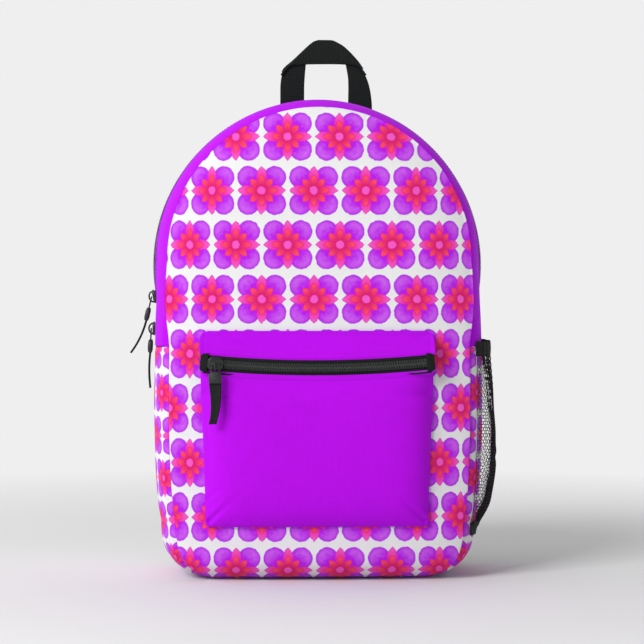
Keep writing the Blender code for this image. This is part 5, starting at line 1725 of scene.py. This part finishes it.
pads = {
    "back_pad_left": [(-0.112, 0.150), (-0.020, 0.150), (-0.010, 0.190), (-0.010, 0.345), (-0.040, 0.360), (-0.096, 0.335), (-0.116, 0.280)],
    "back_pad_lumbar": [(-0.106, 0.040), (0.106, 0.040), (0.112, 0.135), (0.018, 0.135), (0.0, 0.142), (-0.018, 0.135), (-0.112, 0.135)],
}
pads["back_pad_right"] = [(-x, z) for x, z in pads["back_pad_left"]][::-1]
for name, pts in pads.items():
    loop = rounded_loop(pts, 0.016)
    area = sum(a[0] * b[1] - b[0] * a[1] for a, b in zip(loop, loop[1:] + loop[:1]))
    o = pad_form(name, loop, 0.0612, 0.0062, M_SPACER, 0.0042, "black_mesh")
    co = np.empty(len(o.data.vertices) * 3)
    o.data.vertices.foreach_get("co", co)
    co = co.reshape(-1, 3)
    # rows of sewn channels, pressed into the filled form
    if "lumbar" in name:
        lines = [0.072, 0.104]
        d = np.min([np.abs(co[:, 2] - c) for c in lines], axis=0)
    else:
        lines = [0.198, 0.246, 0.294]
        d = np.min([np.abs(co[:, 2] - c) for c in lines], axis=0)
    up = np.clip((co[:, 1] - 0.0640) / 0.004, 0, 1)
    co[:, 1] -= 0.0030 * np.exp(-(d / 0.0030) ** 2) * up
    co[:, 1] = np.minimum(co[:, 1], 0.0722)
    o.data.vertices.foreach_set("co", co.ravel())
    o.data.update()
    planar_uv(o)
    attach(o, "bag")
    ring = np.array([(x * 1.0, 0.0655, z) for x, z in loop])
    ring = np.concatenate([ring, ring[:1]])
    st = wire(name + "_welt", [tuple(p) for p in ring[:-1]], 0.0013, M_BLACK, 8, cyclic=True)
    planar_uv(st)
    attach(st, "bag")

# the yoke: a sewn patch over the ends of the handle and the straps
yk = rounded_loop([(-0.088, 0.3700), (0.088, 0.3700), (0.088, 0.3840), (0.060, 0.4080), (-0.060, 0.4080), (-0.088, 0.3840)], 0.004, 4)
yoke = prism("yoke_cloth", [(x, z) for x, z in yk], 0.0, 0.0018, M_BLACK, Matrix.Translation((0, HY + 0.0032, 0)) @ Matrix(((1, 0, 0, 0), (0, 0, -1, 0), (0, 1, 0, 0), (0, 0, 0, 1))), 0.0005)
planar_uv(yoke)
ymax = max(v.co.y for v in yoke.data.vertices)
ymin = min(v.co.y for v in yoke.data.vertices)
items = []
for r in (0.0030, 0.0055):
    c = np.array([0.0, 0.388])
    loop = []
    for x, z in yk:
        loop.append((x - math.copysign(r, x) * (1 if abs(x) > 0.01 else 0), z - (r if z > 0.388 else -r)))
    loop.append(loop[0])
    L = resample([(x, ymax, z) for x, z in loop], 0.004)
    items += stitch_items(L, [(0, 1, 0)] * len(L), 0.0023, 0.0009, 0.00026)
o = join("yoke_patch_cloth", yoke, capsules("yk_st", items, M_THREAD_K, sag=0.4))
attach(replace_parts(o, "yoke_patch"), "bag")

# ============================================================== shoulder straps
def strap_pad(sg, name):
    """The padded part: a curved slab from its root under the yoke to its tip, filled by the cloth solver."""
    ts = np.linspace(0.004, T_PAD - 0.006, 60)
    ring = [(-1, 0), (-0.92, 0.62), (-0.6, 0.93), (0, 1.0), (0.6, 0.93), (0.92, 0.62), (1, 0), (0.92, -0.62), (0.6, -0.93), (0, -1.0), (-0.6, -0.93), (-0.92, -0.62)]
    V, F = [], []
    for j, t in enumerate(ts):
        p, across, out = strap_frame(t, sg)
        th = 0.0021 + 0.0017 * smooth((t - 0.02) / 0.16)
        wide = (pad_half(t) - 0.0022) * (1.0 if j not in (0, len(ts) - 1) else 0.90)
        for a, h in ring:
            q = p + across * (a * wide) + out * (h * th)
            V.append((q.x, q.y, q.z))
    m = len(ring)
    for j in range(len(ts) - 1):
        for a in range(m):
            b = (a + 1) % m
            F.append([j * m + a, j * m + b, (j + 1) * m + b, (j + 1) * m + a])
    F.append([a for a in range(m)])
    F.append([(len(ts) - 1) * m + a for a in range(m)][::-1])
    o = mesh_from(name, V, F, M_BLACK)
    fix_normals(o)
    line = np.array([strap_line(t, sg) for t in np.linspace(0, 0.05, 8)])
    stuff(o, 0.0016, pressure=3.0, voxel=0.0034, hold=lambda co: (np.linalg.norm(co - line[0], axis=1) < 0.030) * 1.0)
    return o


def on_strap(t, sg, a, h):
    p, across, out = strap_frame(t, sg)
    return np.array(p + across * a + out * h), np.array(out), np.array(across)


right = strap_pad(1, "strap_pad_right")
left = place("strap_pad_left", right.data.copy(), [])
left.data.transform(Matrix.Diagonal((-1, 1, 1, 1)))
left.data.flip_normals()
for side, sg, o in (("left", -1, left), ("right", 1, right)):
    co = np.empty(len(o.data.vertices) * 3)
    o.data.vertices.foreach_get("co", co)
    co = co.reshape(-1, 3)
    # cloth UVs along and across the strap, and sewn rows 5 mm in from each edge
    ts = np.linspace(0, T_PAD, 240)
    C = np.array([np.array(strap_line(t, sg)) for t in ts])
    A = np.array([np.array(strap_frame(t, sg)[1]) for t in ts])
    O = np.array([np.array(strap_frame(t, sg)[2]) for t in ts])
    near = np.array([int(np.argmin(((C - p) ** 2).sum(1))) for p in co])
    a = ((co - C[near]) * A[near]).sum(1)
    h = ((co - C[near]) * O[near]).sum(1)
    hw = np.array([pad_half(t) for t in ts])[near]
    groove = np.exp(-((hw - np.abs(a) - 0.0075) / 0.0012) ** 2) + 0.8 * np.exp(-(a / 0.0011) ** 2) * (ts[near] > 0.20) * (ts[near] < 0.60)
    co -= O[near] * (np.sign(h) * 0.0012 * np.clip(np.abs(h) / 0.002, 0, 1) * groove)[:, None]
    o.data.vertices.foreach_set("co", co.ravel())
    lay = o.data.uv_layers.get("cloth") or o.data.uv_layers.new(name="cloth")
    L_along = np.concatenate([[0], np.cumsum(np.linalg.norm(np.diff(C, axis=0), axis=1))])[near]
    idx = np.empty(len(o.data.loops), np.int32)
    o.data.loops.foreach_get("vertex_index", idx)
    lay.data.foreach_set("uv", np.stack([a, L_along], 1)[idx].astype(np.float32).ravel())
    # underside: air mesh
    o.data.materials.clear()
    o.data.materials.append(M_BLACK)
    o.data.materials.append(M_SPACER)
    for p in o.data.polygons:
        p.material_index = 1 if np.mean([h[v] for v in p.vertices]) < -0.0012 else 0
    o.data.update()
    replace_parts(o, f"strap_root_{side}", f"shoulder_strap_{side}")
    A0, A1 = strap_line(0.03, sg), strap_line(T_ROOT + 0.05, sg)
    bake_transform(o)
    # binding round the edge
    path, ups = [], []
    for t in np.linspace(0.02, T_PAD - 0.004, 100):
        p, out, ac = on_strap(t, sg, -(pad_half(t) - 0.0006), 0.0)
        path.append(p), ups.append(-ac)
    tip = T_PAD - 0.004
    for b in np.linspace(-0.9, 0.9, 10):
        p, out, ac = on_strap(tip + 0.010 * (1 - b * b) * 0.5, sg, b * (pad_half(tip) - 0.0006), 0.0)
        run = np.cross(ac, out)
        d = np.array(strap_line(tip, sg) - strap_line(tip - 0.02, sg))
        path.append(p), ups.append(ac * b + d / np.linalg.norm(d) * (1 - b * b) * 1.2)
    for t in np.linspace(T_PAD - 0.004, 0.02, 100):
        p, out, ac = on_strap(t, sg, pad_half(t) - 0.0006, 0.0)
        path.append(p), ups.append(ac)
    b_ = sweep(f"strap_binding_{side}", path, ups, 0.0046, 0.0014, M_WEB_FINE)
    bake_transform(b_)
    items = []
    for e in (-1, 1):
        for hh in (1,):
            L, N = [], []
            for t in np.linspace(0.03, T_PAD - 0.02, 140):
                p, out, ac = on_strap(t, sg, e * (pad_half(t) - 0.0075), 0.0052 if t > 0.16 else 0.0036)
                L.append(p), N.append(out)
            items += stitch_items(L, N, 0.0024, 0.0010, 0.00028, -0.0002)
    # webbing sewn down the lower part of the pad, that carries the adjuster
    path, ups = [], []
    for t in np.linspace(0.40, T_PAD + 0.030, 50):
        p, out, ac = on_strap(t, sg, 0.0, 0.0056 - 0.0030 * smooth((t - T_PAD + 0.02) / 0.03))
        path.append(p), ups.append(out)
    web = sweep(f"strap_carrier_{side}", path, ups, 0.0122, 0.0014, M_WEB)
    for t0, t1 in ((0.405, 0.425), (0.655, 0.672)):
        for (ta, aa), (tb, ab) in (((t0, -0.0105), (t0, 0.0105)), ((t1, -0.0105), (t1, 0.0105)), ((t0, -0.0105), (t1, 0.0105)), ((t0, 0.0105), (t1, -0.0105))):
            L, N = [], []
            for k in np.linspace(0, 1, 8):
                t, aa_ = ta + (tb - ta) * k, aa + (ab - aa) * k
                p, out, ac = on_strap(t, sg, aa_, 0.0064 - 0.0030 * smooth((t - T_PAD + 0.02) / 0.03))
                L.append(p), N.append(out)
            items += stitch_items(L, N, 0.0021, 0.0008, 0.00026, 0.0001)
    sti = capsules(f"sst_{side}", items, M_THREAD_K, sag=0.4)
    o2 = join(f"strap_trim_{side}", web, sti)
    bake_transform(o2)

    # ladder-lock adjuster
    c, across, outv = strap_frame(T_PAD + 0.042, sg)
    d = (strap_line(T_PAD + 0.06, sg) - strap_line(T_PAD + 0.02, sg)).normalized()
    at = upright(c, across, d * -1)
    bars = []
    for y, hx, r in ((0.0090, 0.0150, 0.0016), (0.0000, 0.0150, 0.0021), (-0.0090, 0.0155, 0.0017)):
        bars.append(wire(f"lock_bar{y}", [at @ Vector((-hx, y, 0)), at @ Vector((0, y, 0.0002)), at @ Vector((hx, y, 0))], r, M_MOULD, 10))
    rails = []
    for q in (-1, 1):
        lp = [(q * 0.0130, -0.0108), (q * 0.0158, -0.0104), (q * 0.0168, -0.0085), (q * 0.0166, 0.0085), (q * 0.0156, 0.0106), (q * 0.0130, 0.0108)]
        rails.append(prism(f"lock_rail{q}", lp if q > 0 else lp[::-1], -0.0021, 0.0021, M_MOULD, at, 0.0009, 0.96, 3))
    lip = prism("lock_lip", [(-0.0135, -0.0135), (0.0135, -0.0135), (0.0150, -0.0098), (-0.0150, -0.0098)], -0.0012, 0.0012, M_MOULD, at, 0.0006, 0.95)
    o = join(f"ladder_lock_{side}", *bars, *rails, lip)
    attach(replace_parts(o, f"strap_adjuster_{side}"), f"strap_{side}")

    # lower webbing, from the adjuster to the anchor in the bottom corner
    path, ups = [], []
    for t in np.linspace(T_PAD + 0.050, 0.9985, 60):
        k = smooth((t - T_PAD - 0.050) / 0.035)
        p, out, ac = on_strap(t, sg, 0.0, 0.0022 * (1 - k))
        path.append(p), ups.append(out)
    o = sweep(f"lower_webbing_{side}", path, ups, 0.0123, 0.0015, M_WEB)
    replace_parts(o, f"strap_webbing_{side}", f"strap_foot_{side}")
    strap_line(0.999, sg)
    strap_line(0.935, sg)
    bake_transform(o)
    tail_at = c + Vector((0, 0.0080, -0.0030))

    def tail(u, v):
        hem = 0.0007 if v > 0.90 else 0.0
        return tail_at + Vector(((2 * u - 1) * 0.0123, 0.0008 + 0.0012 * math.sin(math.pi * v) + hem + 0.0004 * (1 - (2 * u - 1) ** 4), -0.0950 * v))
    tl = ribbon(f"tl{side}", tail, 8, 50, 0.0016, M_WEB, (0, 1, 0))
    L = [np.array(tail(u, 0.915)) + np.array((0, 0.0001, 0)) for u in np.linspace(0.06, 0.94, 9)]
    ts_ = capsules(f"tls{side}", stitch_items(L, [(0, 1, 0)] * 9, 0.0020, 0.0007, 0.00025), M_THREAD_K, sag=0.4)
    o = join(f"tail_webbing_{side}", tl, ts_)
    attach(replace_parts(o, f"strap_tail_{side}"), f"tail_{side}")
    # anchor: a folded triangle of cloth sewn into the corner seam
    tab = [(0.0135, 0.010), (-0.0135, 0.010), (-0.030, -0.020), (0.006, -0.028)] if sg > 0 else [(0.0135, 0.010), (-0.0135, 0.010), (-0.006, -0.028), (0.030, -0.020)]
    fr = Matrix.Translation((sg * LOW_B[0], 0.0692, LOW_B[2] - 0.0105)) @ Matrix(((1, 0, 0, 0), (0, 0, -1, 0), (0, 1, 0, 0), (0, 0, 0, 1)))
    tri = prism(f"anc{side}", rounded_loop(tab, 0.003, 4), 0.0, 0.0020, M_BLACK, fr, 0.0005)
    planar_uv(tri)
    yb = max(v.co.y for v in tri.data.vertices)
    L = [((sg * LOW_B[0] + x * 0.80 + (0.0 if sg > 0 else 0.0)), yb, LOW_B[2] - 0.0105 + (z + 0.008) * 0.78 - 0.008) for x, z in tab + tab[:1]]
    L = resample(L, 0.004)
    sts = capsules(f"ancs{side}", stitch_items(L, [(0, 1, 0)] * len(L), 0.0021, 0.0008, 0.00026), M_THREAD_K, sag=0.4)
    o = join(f"anchor_cloth_{side}", tri, sts)
    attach(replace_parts(o, f"strap_anchor_{side}"), "bag")

# ============================================================== inside
nodes = frame["nodes"]
for n, m in (("back_foam", M_FOAM), ("laptop_sleeve", M_LINING), ("base_stiffener", M_BOARD)):
    o = nodes[n]
    o.data.materials.clear()
    o.data.materials.append(m)
    if not o.data.uv_layers.get("cloth"):
        planar_uv(o)

# ============================================================== stage
TONE = srgb(239, 239, 239)


def floor_material():
    """Matt paper that passes into the tone of the room away from the bag."""
    m, t, b = new_material("studio_paper", 0.95, spec=0.05)
    n = t.nodes.new("ShaderNodeTexCoord")
    ln = t.nodes.new("ShaderNodeVectorMath")
    ln.operation = "LENGTH"
    t.links.new(n.outputs["Object"], ln.inputs[0])
    n1 = noise_node(t, n.outputs["Object"], 3.0, 2.0)
    c = mix(t, clamp01(n1), srgb(224, 224, 224), srgb(228, 228, 228))
    t.links.new(c, b.inputs["Base Color"])
    em = t.nodes.new("ShaderNodeEmission")
    em.inputs["Color"].default_value = (*TONE, 1.0)
    em.inputs["Strength"].default_value = 1.0
    mx = t.nodes.new("ShaderNodeMixShader")
    fade = clamp01((Sock(ln.outputs["Value"]) - 0.40) / 0.70)
    t.links.new(fade.s, mx.inputs[0])
    t.links.new(b.outputs[0], mx.inputs[1])
    t.links.new(em.outputs[0], mx.inputs[2])
    out = next(q for q in t.nodes if q.type == "OUTPUT_MATERIAL")
    t.links.new(mx.outputs[0], out.inputs["Surface"])
    return m


g = np.linspace(-8, 8, 9)
rows = [[(x, y, -0.0006) for x in g] for y in g]
floor = shell("studio_floor", rows, np.zeros((9, 9, 2)), 0.002, [floor_material()], lambda P: np.broadcast_to(np.array((0, 0, 1.0)), P.shape))

cam = bpy.data.cameras.new("camera")
cam.sensor_width, cam.lens = 36.0, 120.2
cam_o = bpy.data.objects.new("camera", cam)
scene.collection.objects.link(cam_o)
cam_o.location = (-0.0700, -2.0, 0.2740)
cam_o.rotation_mode = "QUATERNION"
cam_o.rotation_quaternion = (Vector((0.0037, 0.0, 0.2332)) - cam_o.location).to_track_quat("-Z", "Y")
scene.camera = cam_o


def area(name, loc, target, size, power, colour=(1, 1, 1)):
    L = bpy.data.lights.new(name, "AREA")
    L.shape, L.size, L.size_y, L.energy, L.color = "RECTANGLE", size[0], size[1], power, colour
    o = bpy.data.objects.new(name, L)
    scene.collection.objects.link(o)
    o.location = loc
    o.rotation_mode = "QUATERNION"
    o.rotation_quaternion = (Vector(target) - Vector(loc)).to_track_quat("-Z", "Y")
    return o


area("key", (-1.7, -1.9, 1.7), (0, 0, 0.22), (1.4, 1.4), 71)
area("fill", (1.7, -2.0, 1.0), (0, 0, 0.22), (1.8, 1.8), 0.5)
area("overhead", (-0.4, 0.0, 2.5), (0, 0.1, 0.2), (2.0, 1.6), 3)
world = bpy.data.worlds.new("studio")
scene.world = world
world.use_nodes = True
wt = world.node_tree
Sock.tree = wt
wc = wt.nodes.new("ShaderNodeTexCoord")
ws = wt.nodes.new("ShaderNodeSeparateXYZ")
wt.links.new(wc.outputs["Generated"], ws.inputs[0])
wx, wy, wz = Sock(ws.outputs[0]), Sock(ws.outputs[1]), Sock(ws.outputs[2])
# the room: pale everywhere at eye height, dimmer overhead on the right and in front
dim = clamp01(clamp01(-wy * 1.3 + wx * 0.7 + 0.15) * clamp01(absv(wz) * 2.2 - 0.30) * 1.6)
wcol = mix(wt, dim, TONE, srgb(52, 52, 54))
wt.links.new(wcol, wt.nodes["Background"].inputs["Color"])
wt.nodes["Background"].inputs["Strength"].default_value = 1.0
